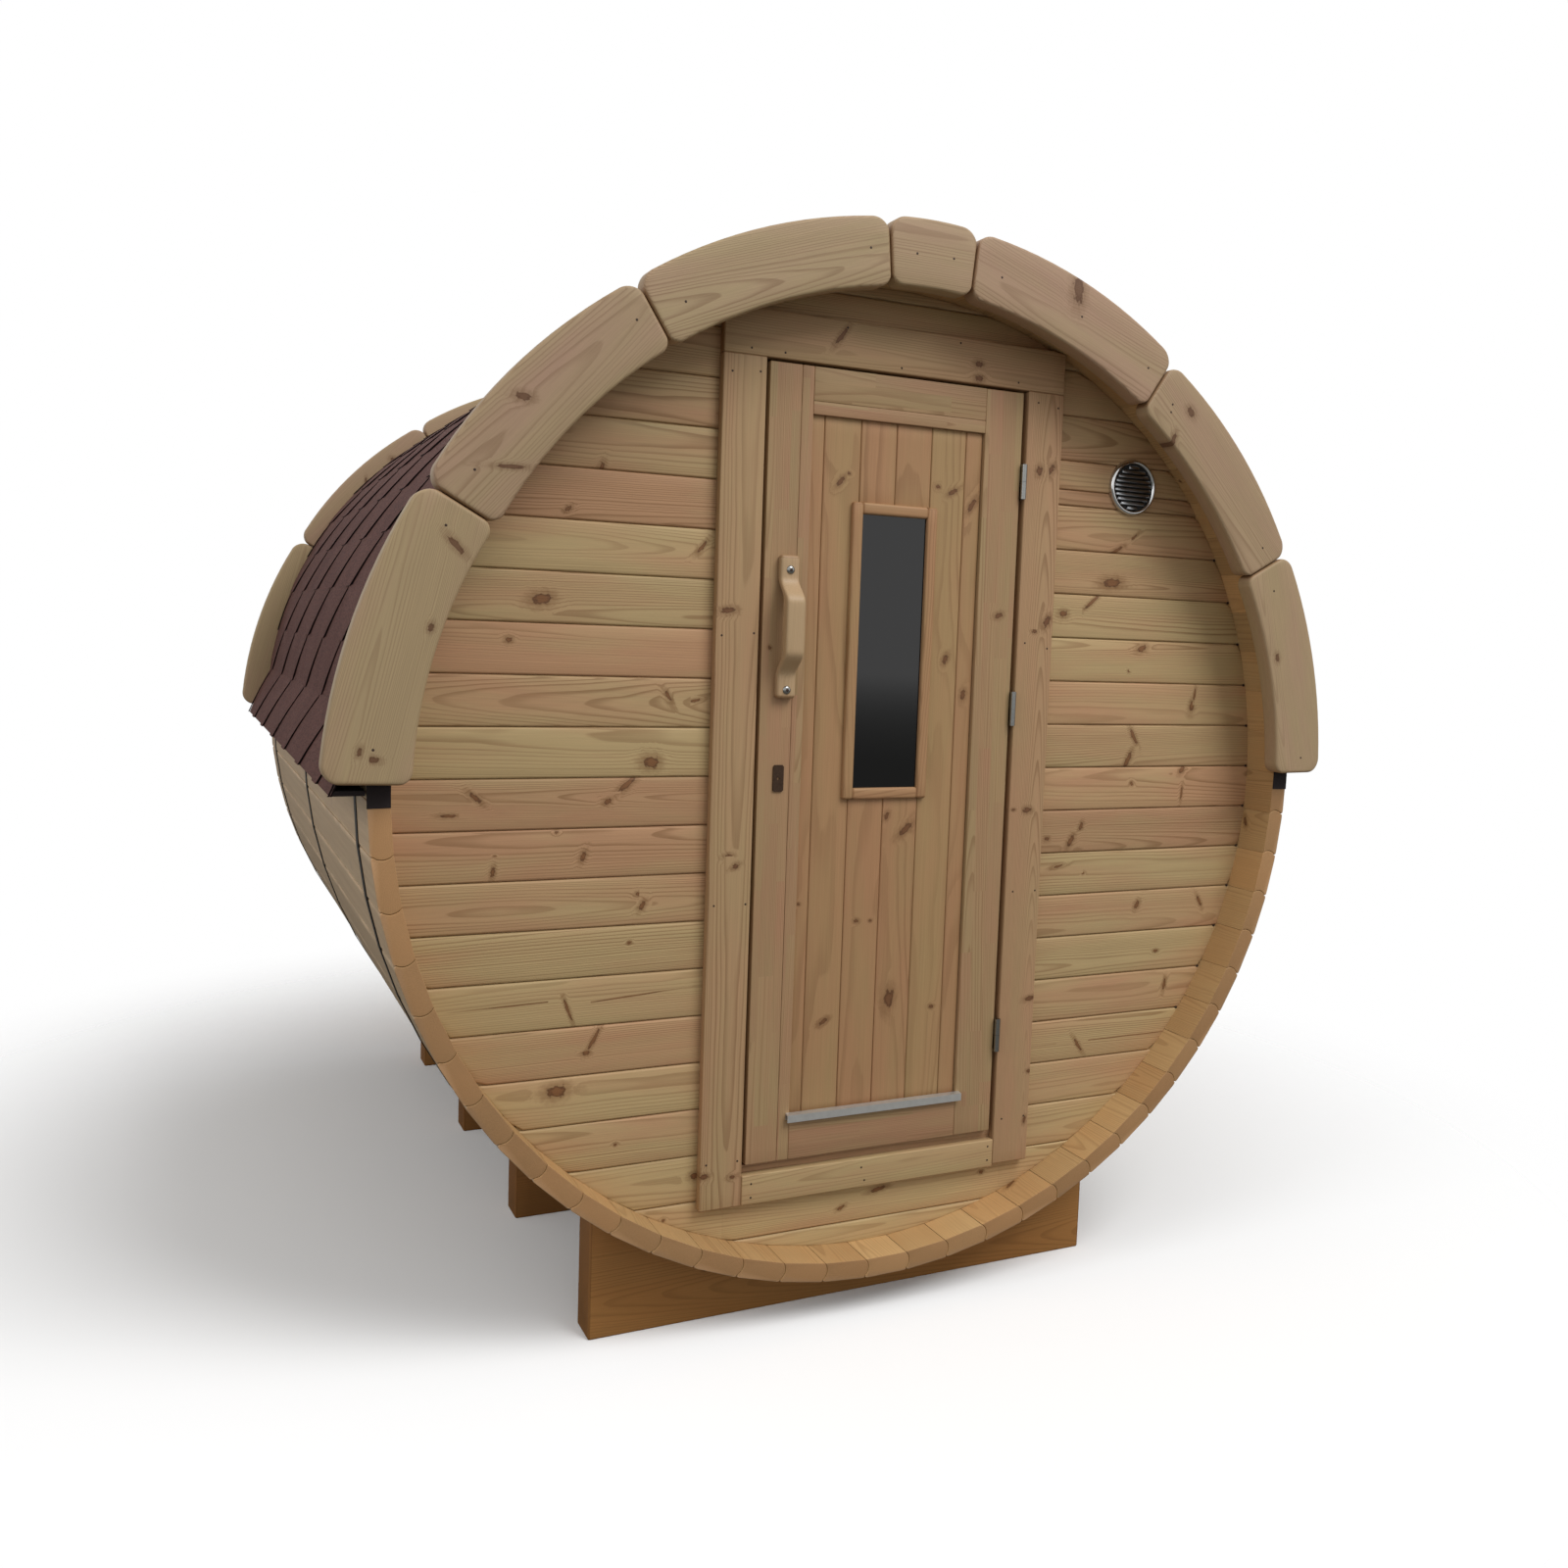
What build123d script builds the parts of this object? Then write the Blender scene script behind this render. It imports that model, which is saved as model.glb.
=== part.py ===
"""Barrel sauna: a coopered pine barrel on four saddle cradles, with a shingled upper half,
arched fascia boards at both ends, and a hinged door with a small window in the front wall.

Frame: +Z up, the ground at Z = 0, the barrel's axis along Y at X = 0, the door facing -Y.
Heights called "rise" are measured from the barrel's axis. Millimetres.
"""
import os
from math import cos, degrees, radians, sin, sqrt

from build123d import *

os.makedirs("parts", exist_ok=True)

# Barrel of staves
barrel_radius = 1000.0
barrel_length = 2100.0
stave_count = 66
stave_thickness = 38.0
stave_gap = 0.4
stave_bead = 7.0
stave_notch = 4.0
stave_phase = 3.5
stave_sections = 6
croze_depth = 9.0
seat_clearance = 0.3

# End walls
porch_depth = 85.0
wall_thickness = 42.0

# Steel hoops
hoop_width = 25.0
hoop_thickness = 1.5
hoop_inset = 150.0

# Cradles
cradle_web = 81.0
cradle_saddle_half = 535.0
cradle_shoulder = 37.0
cradle_thickness = 76.0
cradle_inset = 112.0
cradle_count = 4
hoop_notch = 3.0

# Door leaf, with the room left over and under it inside the staves
leaf_left = -275.0
leaf_right = 288.0
room_over_leaf = 169.0
room_under_leaf = 205.0
leaf_thickness = 42.0
leaf_set_back = 2.0
latch_gap = 8.0
hinge_gap = 11.5
head_gap = 6.0
threshold_gap = 6.0
stile_left_width = 91.0
stile_right_width = 88.0
rail_top_height = 89.0
rail_bottom_height = 90.0
panel_recess = 8.0
panel_thickness = 24.0
panel_boards = 6
panel_first_board = 29.0
panel_board_pitch = 79.0
board_groove = 2.5
joint_gap = 0.4

# Door window
window_left = -92.0
window_width = 189.0
window_height = 583.0
window_drop = 157.5
window_bar = 22.5
window_proud = 10.0
window_lip = 8.0
window_rebate = 5.0
glass_thickness = 16.0

# Door frame and casing
jamb_thickness = 30.0
jamb_depth = 62.0
stop_width = 12.0
stop_gap = 6.0
casing_thickness = 20.0
casing_left_width = 87.0
casing_right_width = 86.5
casing_top_height = 86.0
casing_foot_drop = 75.0
casing_foot_step = 5.0
sill_board_height = 60.0

# Door furniture
handle_inset = 47.0
handle_width = 38.0
handle_height = 272.0
handle_drop = 358.0
handle_foot_height = 43.0
handle_foot_depth = 17.0
handle_bend_height = 46.0
handle_reach = 52.0
handle_grip_depth = 23.0
handle_corner = 9.0
lock_inset = 42.0
lock_drop = 785.0
lock_width = 22.0
lock_height = 52.0
lock_thickness = 3.0
keyhole_radius = 3.0
drip_height = 15.0
drip_sheet = 2.0
drip_reach = 11.0
drip_rise = 6.0
drip_fall = 2.5
drip_flange = 8.0
drip_lap = 8.0

# Hinges
hinge_top_drop = 179.0
hinge_middle_shift = 130.0
hinge_foot_lift = 210.5
hinge_lean = 1.25
knuckle_radius = 6.0
knuckle_length = 35.0
knuckle_stand = 7.0
knuckle_gap = 0.5
hinge_pin_radius = 2.5
pin_clearance = 0.05
hinge_plate = 2.0
hinge_plate_depth = 36.0

# Arched fascia boards, joint angles from the right horizontal
fascia_lap = 37.0
fascia_overhang = 52.0
fascia_thickness = 42.0
fascia_joint_angles = (0.9, 28.5, 56.5, 84.6, 95.0, 123.1, 150.9, 179.1)
# How far each board's outer and inner arc stands off the plain ring at its start, middle and end
fascia_outer_shifts = (
    (5.0, 3.0, -1.0),
    (-4.0, -3.0, -6.0),
    (2.0, 9.0, 12.0),
    (13.0, 14.0, 12.0),
    (10.0, 4.0, -3.0),
    (-4.0, -1.0, -2.0),
    (1.0, 13.0, 26.0),
)
fascia_inner_shifts = (
    (5.0, 2.0, -2.0),
    (-4.0, -7.0, -4.0),
    (2.0, 6.0, 14.0),
    (15.0, 15.0, 15.0),
    (12.0, 3.0, -3.0),
    (-3.0, -5.0, -8.0),
    (-6.0, 4.0, 8.0),
)
fascia_joint_gap = 2.5
fascia_corner = 26.0

# Shingle roof
course_start = 7.0
course_angle = 6.7
course_count = 12
course_butt = 8.0
course_head = 4.0
course_gap = 0.4
eave_angle = -0.3
eave_flare = 52.0
eave_batten_angle = 1.3
eave_batten_height = 34.0
eave_batten_reveal = 4.0
eave_batten_bevel = 12.0

# Vent in the front wall
vent_inset = 103.8
vent_angle = 46.94
vent_radius = 60.0
vent_bore_radius = 49.0
vent_sleeve = 1.5
vent_proud = 10.0
vent_rim = 9.0
vent_face = 3.0
louvre_count = 8
louvre_height = 5.0
louvre_end_gap = 2.0

# Floor
floor_drop = 8.0
floor_board_width = 100.0
floor_board_thickness = 28.0
floor_board_gap = 12.0
floor_board_count = 9
floor_end_gap = 10.0
bearer_thickness = 45.0
bearer_spacing = 700.0

# Places that follow from the sizes above
stave_turn = 360.0 / stave_count
stave_start = -90.0 + stave_phase
axis_height = barrel_radius + cradle_web
front_end = -barrel_length / 2
back_end = barrel_length / 2
inner_radius = barrel_radius - stave_thickness
wall_front = front_end + porch_depth
wall_back = wall_front + wall_thickness
croze_radius = inner_radius + croze_depth
wall_radius = croze_radius - seat_clearance
trim_radius = inner_radius * cos(radians(stave_turn / 2)) - seat_clearance
hoop_places = (front_end + hoop_inset, 0.0, back_end - hoop_inset)
casing_front = wall_front - casing_thickness
leaf_front = casing_front + leaf_set_back
leaf_back = leaf_front + leaf_thickness
leaf_top = inner_radius - room_over_leaf
leaf_bottom = room_under_leaf - inner_radius
frame_left = leaf_left - latch_gap
frame_right = leaf_right + hinge_gap
frame_top = leaf_top + head_gap
frame_bottom = leaf_bottom - threshold_gap
opening_left = frame_left - jamb_thickness
opening_right = frame_right + jamb_thickness
opening_top = frame_top + jamb_thickness
opening_bottom = frame_bottom - jamb_thickness
casing_left_edge = frame_left - casing_left_width
casing_right_edge = frame_right + casing_right_width
casing_top_rise = frame_top + casing_top_height
casing_foot_rise = frame_bottom - casing_foot_drop
panel_left = leaf_left + stile_left_width
panel_right = leaf_right - stile_right_width
panel_top = leaf_top - rail_top_height
panel_bottom = leaf_bottom + rail_bottom_height
panel_front = leaf_front + panel_recess
window_front = panel_front - window_proud
window_rise = panel_top - window_drop - window_height / 2
handle_top_rise = leaf_top - handle_drop
handle_bottom_rise = handle_top_rise - handle_height
hinge_rises = (
    leaf_top - hinge_top_drop,
    (leaf_top + leaf_bottom) / 2 + hinge_middle_shift,
    leaf_bottom + hinge_foot_lift,
)
hinge_x = (leaf_right + frame_right) / 2 - hinge_lean
hinge_y = leaf_front - knuckle_stand
cradle_pitch = (barrel_length - 2 * cradle_inset - cradle_thickness) / (cradle_count - 1)
cradle_half_width = cradle_saddle_half + cradle_shoulder
cradle_top_rise = -sqrt(barrel_radius**2 - cradle_saddle_half**2)
roof_radius = barrel_radius + hoop_thickness + 2 * seat_clearance
fascia_inner_radius = inner_radius - fascia_lap
fascia_outer_radius = barrel_radius + fascia_overhang
vent_x = (inner_radius - vent_inset) * cos(radians(vent_angle))
vent_rise = (inner_radius - vent_inset) * sin(radians(vent_angle))
floor_rise = frame_bottom - floor_drop


def upright(y):
    """Sketch plane across the barrel at a place along it: x to the right, y up from the axis."""
    return Plane(origin=(0, y, axis_height), x_dir=(1, 0, 0), z_dir=(0, -1, 0))


def rim_point(radius, angle, shift=0.0):
    """Point at a radius and an angle round the axis, shifted along the rim."""
    turn = radians(angle)
    return (
        radius * cos(turn) - shift * sin(turn),
        radius * sin(turn) + shift * cos(turn),
    )


def slab(left, right, bottom, top):
    """Rectangle between four sides, drawn in the current sketch."""
    with Locations(((left + right) / 2, (bottom + top) / 2)):
        Rectangle(right - left, top - bottom)


def barrel_ring(radius, mode=Mode.ADD):
    """Many-sided outline with its corners at the stave joints, on the current sketch."""
    RegularPolygon(radius, stave_count, rotation=stave_start, mode=mode)


def save(piece, name):
    """Label a finished piece and write it to its own file."""
    piece.part.label = name
    export_step(piece.part, f"parts/{name}.step")


# Staves: each is a plank with a three-sided bead along one edge and a matching cove along the
# other, flat faces, and small chamfers that leave a notch at each joint.
def stave_outline(angle):
    """One stave's closed outline, drawn in the current line."""
    half = stave_turn / 2
    joint_top = barrel_radius - stave_notch
    bead_rise = (joint_top - inner_radius) / 3
    notch_turn = degrees(stave_notch / barrel_radius)
    face_radius = barrel_radius * cos(radians(half)) / cos(radians(half - notch_turn))
    slack = stave_gap / 2
    Polyline(
        rim_point(inner_radius, angle - half, slack),
        rim_point(inner_radius, angle + half, -slack),
        rim_point(inner_radius + bead_rise, angle + half, stave_bead - slack),
        rim_point(joint_top - bead_rise, angle + half, stave_bead - slack),
        rim_point(joint_top, angle + half, -slack),
        rim_point(face_radius, angle + half - notch_turn),
        rim_point(face_radius, angle - half + notch_turn),
        rim_point(joint_top, angle - half, slack),
        rim_point(joint_top - bead_rise, angle - half, stave_bead + slack),
        rim_point(inner_radius + bead_rise, angle - half, stave_bead + slack),
        close=True,
    )


for section in range(stave_sections):
    first_stave = round(section * stave_count / stave_sections)
    next_stave = round((section + 1) * stave_count / stave_sections)
    with BuildPart() as staves:
        with BuildSketch(upright(front_end)):
            for place in range(first_stave, next_stave):
                with BuildLine() as outline:
                    stave_outline(stave_start + stave_turn * (place + 0.5))
                make_face(outline.edges())
        extrude(amount=-barrel_length)
        # The crozes: grooves round the inside that hold the two end walls
        for groove_front in (wall_front, -wall_back):
            with BuildSketch(upright(groove_front - seat_clearance)):
                barrel_ring(croze_radius)
                barrel_ring(inner_radius - stave_thickness, mode=Mode.SUBTRACT)
            extrude(amount=-(wall_thickness + 2 * seat_clearance), mode=Mode.SUBTRACT)
    save(staves, f"barrel_staves_{section + 1}")

# Hoops of flat steel strip, bent round the staves
with BuildPart() as hoops:
    for hoop_middle in hoop_places:
        with BuildSketch(upright(hoop_middle - hoop_width / 2)):
            barrel_ring(barrel_radius + seat_clearance + hoop_thickness)
            barrel_ring(barrel_radius + seat_clearance, mode=Mode.SUBTRACT)
        extrude(amount=-hoop_width)
save(hoops, "hoops")

# Cradles: thick planks with a saddle cut to the barrel, and a notch where a hoop passes
for number in range(cradle_count):
    cradle_front = front_end + cradle_inset + number * cradle_pitch
    with BuildPart() as cradle:
        with BuildSketch(upright(cradle_front)):
            slab(-cradle_half_width, cradle_half_width, -axis_height, cradle_top_rise)
            barrel_ring(barrel_radius + seat_clearance, mode=Mode.SUBTRACT)
        extrude(amount=-cradle_thickness)
        for hoop_middle in hoop_places:
            if cradle_front - hoop_width < hoop_middle < cradle_front + cradle_thickness + hoop_width:
                with BuildSketch(upright(hoop_middle - hoop_width / 2 - hoop_notch)):
                    barrel_ring(barrel_radius + hoop_notch)
                extrude(amount=-(hoop_width + 2 * hoop_notch), mode=Mode.SUBTRACT)
    save(cradle, f"cradle_{number + 1}")


# Front wall: a round wall of boards, split beside, over and under the doorway
def wall_piece(left, right, bottom, top, bore=False):
    """The part of the round front wall between four sides, drawn in the current sketch."""
    slab(left, right, bottom, top)
    barrel_ring(wall_radius, mode=Mode.INTERSECT)
    if bore:
        with Locations((vent_x, vent_rise)):
            Circle(vent_bore_radius + vent_sleeve + seat_clearance, mode=Mode.SUBTRACT)


wall_pieces = {
    "front_wall_left": (-barrel_radius, opening_left, -barrel_radius, barrel_radius, False),
    "front_wall_right": (opening_right, barrel_radius, -barrel_radius, barrel_radius, True),
    "front_wall_over_door": (opening_left, opening_right, opening_top, barrel_radius, False),
    "front_wall_under_door": (opening_left, opening_right, -barrel_radius, opening_bottom, False),
}
for name, sides in wall_pieces.items():
    with BuildPart() as wall:
        with BuildSketch(upright(wall_front)):
            wall_piece(*sides)
        extrude(amount=-wall_thickness)
    save(wall, name)

with BuildPart() as back_wall:
    with BuildSketch(upright(-wall_back)):
        barrel_ring(wall_radius)
    extrude(amount=-wall_thickness)
save(back_wall, "back_wall")

# Door frame: jambs, head and threshold line the opening, with stops nailed behind the leaf
with BuildPart() as jambs:
    with BuildSketch(upright(wall_front)):
        slab(opening_left, frame_left, frame_bottom, frame_top)
        slab(frame_right, opening_right, frame_bottom, frame_top)
    extrude(amount=-jamb_depth)
save(jambs, "door_jambs")

with BuildPart() as head_jamb:
    with BuildSketch(upright(wall_front)):
        slab(opening_left, opening_right, frame_top, opening_top)
    extrude(amount=-jamb_depth)
save(head_jamb, "head_jamb")

with BuildPart() as threshold:
    with BuildSketch(upright(wall_front)):
        slab(opening_left, opening_right, opening_bottom, frame_bottom)
    extrude(amount=-jamb_depth)
    chamfer(threshold.faces().sort_by(Axis.Y)[0].edges().sort_by(Axis.Z)[-1], threshold_gap / 2)
save(threshold, "threshold")

stop_front = leaf_back + stop_gap
stop_depth = wall_front + jamb_depth - stop_front
with BuildPart() as stops:
    with BuildSketch(upright(stop_front)):
        slab(frame_left, frame_left + stop_width, frame_bottom, frame_top - stop_width - joint_gap)
        slab(frame_right - stop_width, frame_right, frame_bottom, frame_top - stop_width - joint_gap)
        slab(frame_left, frame_right, frame_top - stop_width, frame_top)
    extrude(amount=-stop_depth)
save(stops, "door_stops")


# Casing boards on the front wall, trimmed where they meet the staves
def casing(name, left, right, bottom, top):
    """One casing board, flat against the wall, with its front edges eased."""
    with BuildPart() as board:
        with BuildSketch(upright(casing_front)):
            slab(left, right, bottom, top)
            Circle(trim_radius, mode=Mode.INTERSECT)
        extrude(amount=-casing_thickness)
        chamfer(board.faces().sort_by(Axis.Y)[0].edges(), board_groove / 2)
    save(board, name)


right_foot_rise = casing_foot_rise + casing_foot_step
sill_board_top = casing_foot_rise + sill_board_height
casing("casing_left", casing_left_edge, frame_left, casing_foot_rise, frame_top)
casing("casing_right", frame_right, casing_right_edge, right_foot_rise, frame_top)
casing("casing_top", casing_left_edge, casing_right_edge, frame_top, casing_top_rise)
casing("sill_board", frame_left, frame_right, casing_foot_rise, sill_board_top)


# Door leaf: stiles and rails round a panel of upright boards
def leaf_member(name, left, right, bottom, top):
    """One stile or rail of the leaf."""
    with BuildPart() as member:
        with BuildSketch(upright(leaf_front)):
            slab(left, right, bottom, top)
        extrude(amount=-leaf_thickness)
    save(member, name)


leaf_member("door_stile_left", leaf_left, panel_left, leaf_bottom, leaf_top)
leaf_member("door_stile_right", panel_right, leaf_right, leaf_bottom, leaf_top)
leaf_member("door_rail_top", panel_left, panel_right, panel_top, leaf_top)
leaf_member("door_rail_bottom", panel_left, panel_right, leaf_bottom, panel_bottom)

window_middle = window_left + window_width / 2
window_bottom = window_rise - window_height / 2
panel_joints = [panel_left]
for place in range(panel_boards - 1):
    panel_joints.append(panel_left + panel_first_board + place * panel_board_pitch)
panel_joints.append(panel_right)
with BuildPart() as panel:
    with BuildSketch(upright(panel_front)):
        for board_left, board_right in zip(panel_joints[:-1], panel_joints[1:]):
            slab(
                board_left + joint_gap / 2,
                board_right - joint_gap / 2,
                panel_bottom + seat_clearance,
                panel_top - seat_clearance,
            )
    extrude(amount=-panel_thickness)
    chamfer(panel.faces().group_by(Axis.Y)[0].edges().filter_by(Axis.Z), board_groove)
    with BuildSketch(upright(panel_front)):
        slab(
            window_left - seat_clearance,
            window_left + window_width + seat_clearance,
            window_bottom - seat_clearance,
            window_bottom + window_height + seat_clearance,
        )
    extrude(amount=-panel_thickness, mode=Mode.SUBTRACT)
save(panel, "door_panel")

# Window frame with a lip in front of the pane, and the pane in its rebate
with BuildPart() as window_frame:
    with BuildSketch(upright(window_front)):
        with Locations((window_middle, window_rise)):
            Rectangle(window_width, window_height)
            Rectangle(window_width - 2 * window_bar, window_height - 2 * window_bar, mode=Mode.SUBTRACT)
    extrude(amount=-(window_proud + panel_thickness))
    with BuildSketch(upright(window_front + window_lip)):
        with Locations((window_middle, window_rise)):
            Rectangle(
                window_width - 2 * window_bar + 2 * window_rebate,
                window_height - 2 * window_bar + 2 * window_rebate,
            )
    extrude(amount=-(window_proud + panel_thickness), mode=Mode.SUBTRACT)
    chamfer(window_frame.faces().sort_by(Axis.Y)[0].edges(), board_groove)
save(window_frame, "window_frame")

with BuildPart() as glass:
    with BuildSketch(upright(window_front + window_lip + seat_clearance)):
        with Locations((window_middle, window_rise)):
            Rectangle(
                window_width - 2 * window_bar + 2 * (window_rebate - seat_clearance),
                window_height - 2 * window_bar + 2 * (window_rebate - seat_clearance),
            )
    extrude(amount=-glass_thickness)
save(glass, "window_glass")

# Pull handle: sawn to a bowed outline, seen from the side, with two flat feet on the stile
handle_x = leaf_left + handle_inset
handle_side = Plane(
    origin=(handle_x - handle_width / 2, leaf_front, axis_height), x_dir=(0, -1, 0), z_dir=(-1, 0, 0)
)
upper_foot_end = handle_top_rise - handle_foot_height
lower_foot_end = handle_bottom_rise + handle_foot_height
grip_top = upper_foot_end - handle_bend_height
grip_bottom = lower_foot_end + handle_bend_height
bend_middle = ((handle_foot_depth + handle_reach) / 2, (upper_foot_end + grip_top) / 2)
grip_middle = (grip_top + grip_bottom) / 2
with BuildPart() as handle:
    with BuildSketch(handle_side):
        with BuildLine():
            Polyline(
                (0, upper_foot_end),
                (0, handle_top_rise),
                (handle_foot_depth, handle_top_rise),
                (handle_foot_depth, upper_foot_end),
            )
            TangentArc((handle_foot_depth, upper_foot_end), bend_middle, tangent=(0, -1))
            TangentArc((handle_reach, grip_top), bend_middle, tangent=(0, 1))
            Line((handle_reach, grip_top), (handle_reach, grip_bottom))
            TangentArc((handle_foot_depth, lower_foot_end), (handle_reach, grip_bottom), tangent=(0, 1))
            Polyline(
                (handle_foot_depth, lower_foot_end),
                (handle_foot_depth, handle_bottom_rise),
                (0, handle_bottom_rise),
                (0, lower_foot_end),
            )
            ThreePointArc(
                (0, lower_foot_end),
                (handle_reach - handle_grip_depth, grip_middle),
                (0, upper_foot_end),
            )
        make_face()
    extrude(amount=-handle_width)
    # Its four corners are rounded as seen from the front
    with BuildSketch(upright(leaf_front - handle_reach)):
        with Locations((handle_x, handle_top_rise - handle_height / 2)):
            RectangleRounded(handle_width, handle_height, handle_corner)
    extrude(amount=-handle_reach, mode=Mode.INTERSECT)
save(handle, "door_handle")

with BuildPart() as lock_plate:
    with BuildSketch(upright(leaf_front - lock_thickness)) as plate_outline:
        with Locations((leaf_left + lock_inset, leaf_top - lock_drop)):
            Rectangle(lock_width, lock_height)
            chamfer(plate_outline.vertices(), lock_thickness)
            Circle(keyhole_radius, mode=Mode.SUBTRACT)
    extrude(amount=-lock_thickness)
save(lock_plate, "lock_plate")

# Drip strip: bent sheet on the bottom rail, its top sloping out under the foot of the panel
drip_side = Plane(
    origin=(panel_left - drip_lap, leaf_front, axis_height + panel_bottom),
    x_dir=(0, -1, 0),
    z_dir=(-1, 0, 0),
)
drip_edge = drip_rise - drip_fall
with BuildPart() as drip_strip:
    with BuildSketch(drip_side):
        with BuildLine():
            Polyline(
                (0, drip_rise),
                (drip_reach, drip_edge),
                (drip_reach, drip_edge - drip_height),
                (drip_reach - drip_sheet, drip_edge - drip_height),
                (drip_reach - drip_sheet, drip_edge - drip_sheet),
                (drip_sheet, drip_rise - drip_sheet),
                (drip_sheet, -drip_flange),
                (0, -drip_flange),
                close=True,
            )
        make_face()
    extrude(amount=-(panel_right - panel_left + 2 * drip_lap))
save(drip_strip, "drip_strip")

# Hinges: a pinned knuckle and plate on the frame, a bored knuckle and plate on the leaf
with BuildPart() as frame_halves:
    for rise in hinge_rises:
        knuckle_top = axis_height + rise - knuckle_gap / 2
        with BuildSketch(Plane.XY.offset(knuckle_top)):
            with Locations((hinge_x, hinge_y)):
                Circle(knuckle_radius)
            slab(
                frame_right - seat_clearance - hinge_plate,
                frame_right - seat_clearance,
                hinge_y,
                hinge_y + hinge_plate_depth,
            )
        extrude(amount=-knuckle_length)
        with BuildSketch(Plane.XY.offset(knuckle_top)):
            with Locations((hinge_x, hinge_y)):
                Circle(hinge_pin_radius)
        extrude(amount=knuckle_length - knuckle_radius)
save(frame_halves, "hinge_frame_halves")

with BuildPart() as leaf_halves:
    for rise in hinge_rises:
        knuckle_foot = axis_height + rise + knuckle_gap / 2
        with BuildSketch(Plane.XY.offset(knuckle_foot)):
            with Locations((hinge_x, hinge_y)):
                Circle(knuckle_radius)
            slab(
                leaf_right + seat_clearance,
                leaf_right + seat_clearance + hinge_plate,
                hinge_y,
                hinge_y + hinge_plate_depth,
            )
        extrude(amount=knuckle_length)
        with BuildSketch(Plane.XY.offset(knuckle_foot)):
            with Locations((hinge_x, hinge_y)):
                Circle(hinge_pin_radius + pin_clearance)
        extrude(amount=knuckle_length - knuckle_radius / 2, mode=Mode.SUBTRACT)
save(leaf_halves, "hinge_leaf_halves")


# Fascia: boards sawn to the arch, with rounded corners
def fascia_outline(start, end, outer_shift, inner_shift):
    """One fascia board's outline between two joint angles, drawn in the current sketch."""
    slack = degrees(fascia_joint_gap / 2 / fascia_outer_radius)
    angles = (start + slack, (start + end) / 2, end - slack)
    outer = []
    inner = []
    for angle, outer_step, inner_step in zip(angles, outer_shift, inner_shift):
        outer.append(rim_point(fascia_outer_radius + outer_step, angle))
        inner.append(rim_point(fascia_inner_radius + inner_step, angle))
    with BuildLine() as outline:
        ThreePointArc(*outer)
        Line(outer[2], inner[2])
        ThreePointArc(inner[2], inner[1], inner[0])
        Line(inner[0], outer[0])
    board = make_face(outline.edges())
    fillet(board.vertices(), fascia_corner)


def fascia(name, back_plane_y, outward, outer_shifts, inner_shifts):
    """A whole arch of boards on one end of the barrel; outward is -1 at the front, 1 at the back."""
    spans = zip(fascia_joint_angles[:-1], fascia_joint_angles[1:], outer_shifts, inner_shifts)
    with BuildPart() as arch:
        for start, end, outer_shift, inner_shift in spans:
            with BuildSketch(upright(back_plane_y)):
                fascia_outline(start, end, outer_shift, inner_shift)
            extrude(amount=-outward * fascia_thickness)
    save(arch, name)


# At the back both eave boards widen alike
back_outer_shifts = (fascia_outer_shifts[-1][::-1],) + fascia_outer_shifts[1:]
back_inner_shifts = (fascia_inner_shifts[-1][::-1],) + fascia_inner_shifts[1:]
fascia("front_fascia", front_end, -1, fascia_outer_shifts, fascia_inner_shifts)
fascia("back_fascia", back_end, 1, back_outer_shifts, back_inner_shifts)


# Roof: courses of shingles, each thick at its lower edge, laid up both sides to a ridge cap
def flare(angle):
    """How far the roof stands off the staves: the lowest courses kick out over the eave."""
    return eave_flare * max(0.0, 1.0 - (angle - eave_angle) / (course_start - eave_angle))


def course_outline(low, high, side):
    """One course between two angles above the horizontal; side is 1 right, -1 left."""
    start = low + degrees(course_gap / roof_radius)
    low_radius = roof_radius + flare(start)
    high_radius = roof_radius + flare(high)
    middle = (start + high) / 2
    points = (
        rim_point(low_radius, start),
        rim_point(low_radius + course_butt, start),
        rim_point((low_radius + high_radius + course_butt + course_head) / 2, middle),
        rim_point(high_radius + course_head, high),
        rim_point(high_radius, high),
        rim_point((low_radius + high_radius) / 2, middle),
    )
    corners = []
    for x, y in points:
        corners.append((side * x, y))
    with BuildLine() as outline:
        Line(corners[0], corners[1])
        ThreePointArc(corners[1], corners[2], corners[3])
        Line(corners[3], corners[4])
        ThreePointArc(corners[4], corners[5], corners[0])
    make_face(outline.edges())


ridge_start = course_start + course_count * course_angle
for name, side in (("roof_right", 1), ("roof_left", -1)):
    with BuildPart() as roof:
        with BuildSketch(upright(front_end)):
            course_outline(eave_angle, course_start, side)
            for course in range(course_count):
                course_foot = course_start + course * course_angle
                course_outline(course_foot, course_foot + course_angle, side)
        extrude(amount=-barrel_length)
    save(roof, name)

with BuildPart() as ridge:
    with BuildSketch(upright(front_end)):
        cap_start = ridge_start + degrees(course_gap / roof_radius)
        with BuildLine():
            Line(rim_point(roof_radius, cap_start), rim_point(roof_radius + course_butt, cap_start))
            ThreePointArc(
                rim_point(roof_radius + course_butt, cap_start),
                (0, roof_radius + course_butt),
                rim_point(roof_radius + course_butt, 180.0 - cap_start),
            )
            Line(
                rim_point(roof_radius + course_butt, 180.0 - cap_start),
                rim_point(roof_radius, 180.0 - cap_start),
            )
            ThreePointArc(
                rim_point(roof_radius, 180.0 - cap_start),
                (0, roof_radius),
                rim_point(roof_radius, cap_start),
            )
        make_face()
    extrude(amount=-barrel_length)
save(ridge, "roof_ridge")

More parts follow.
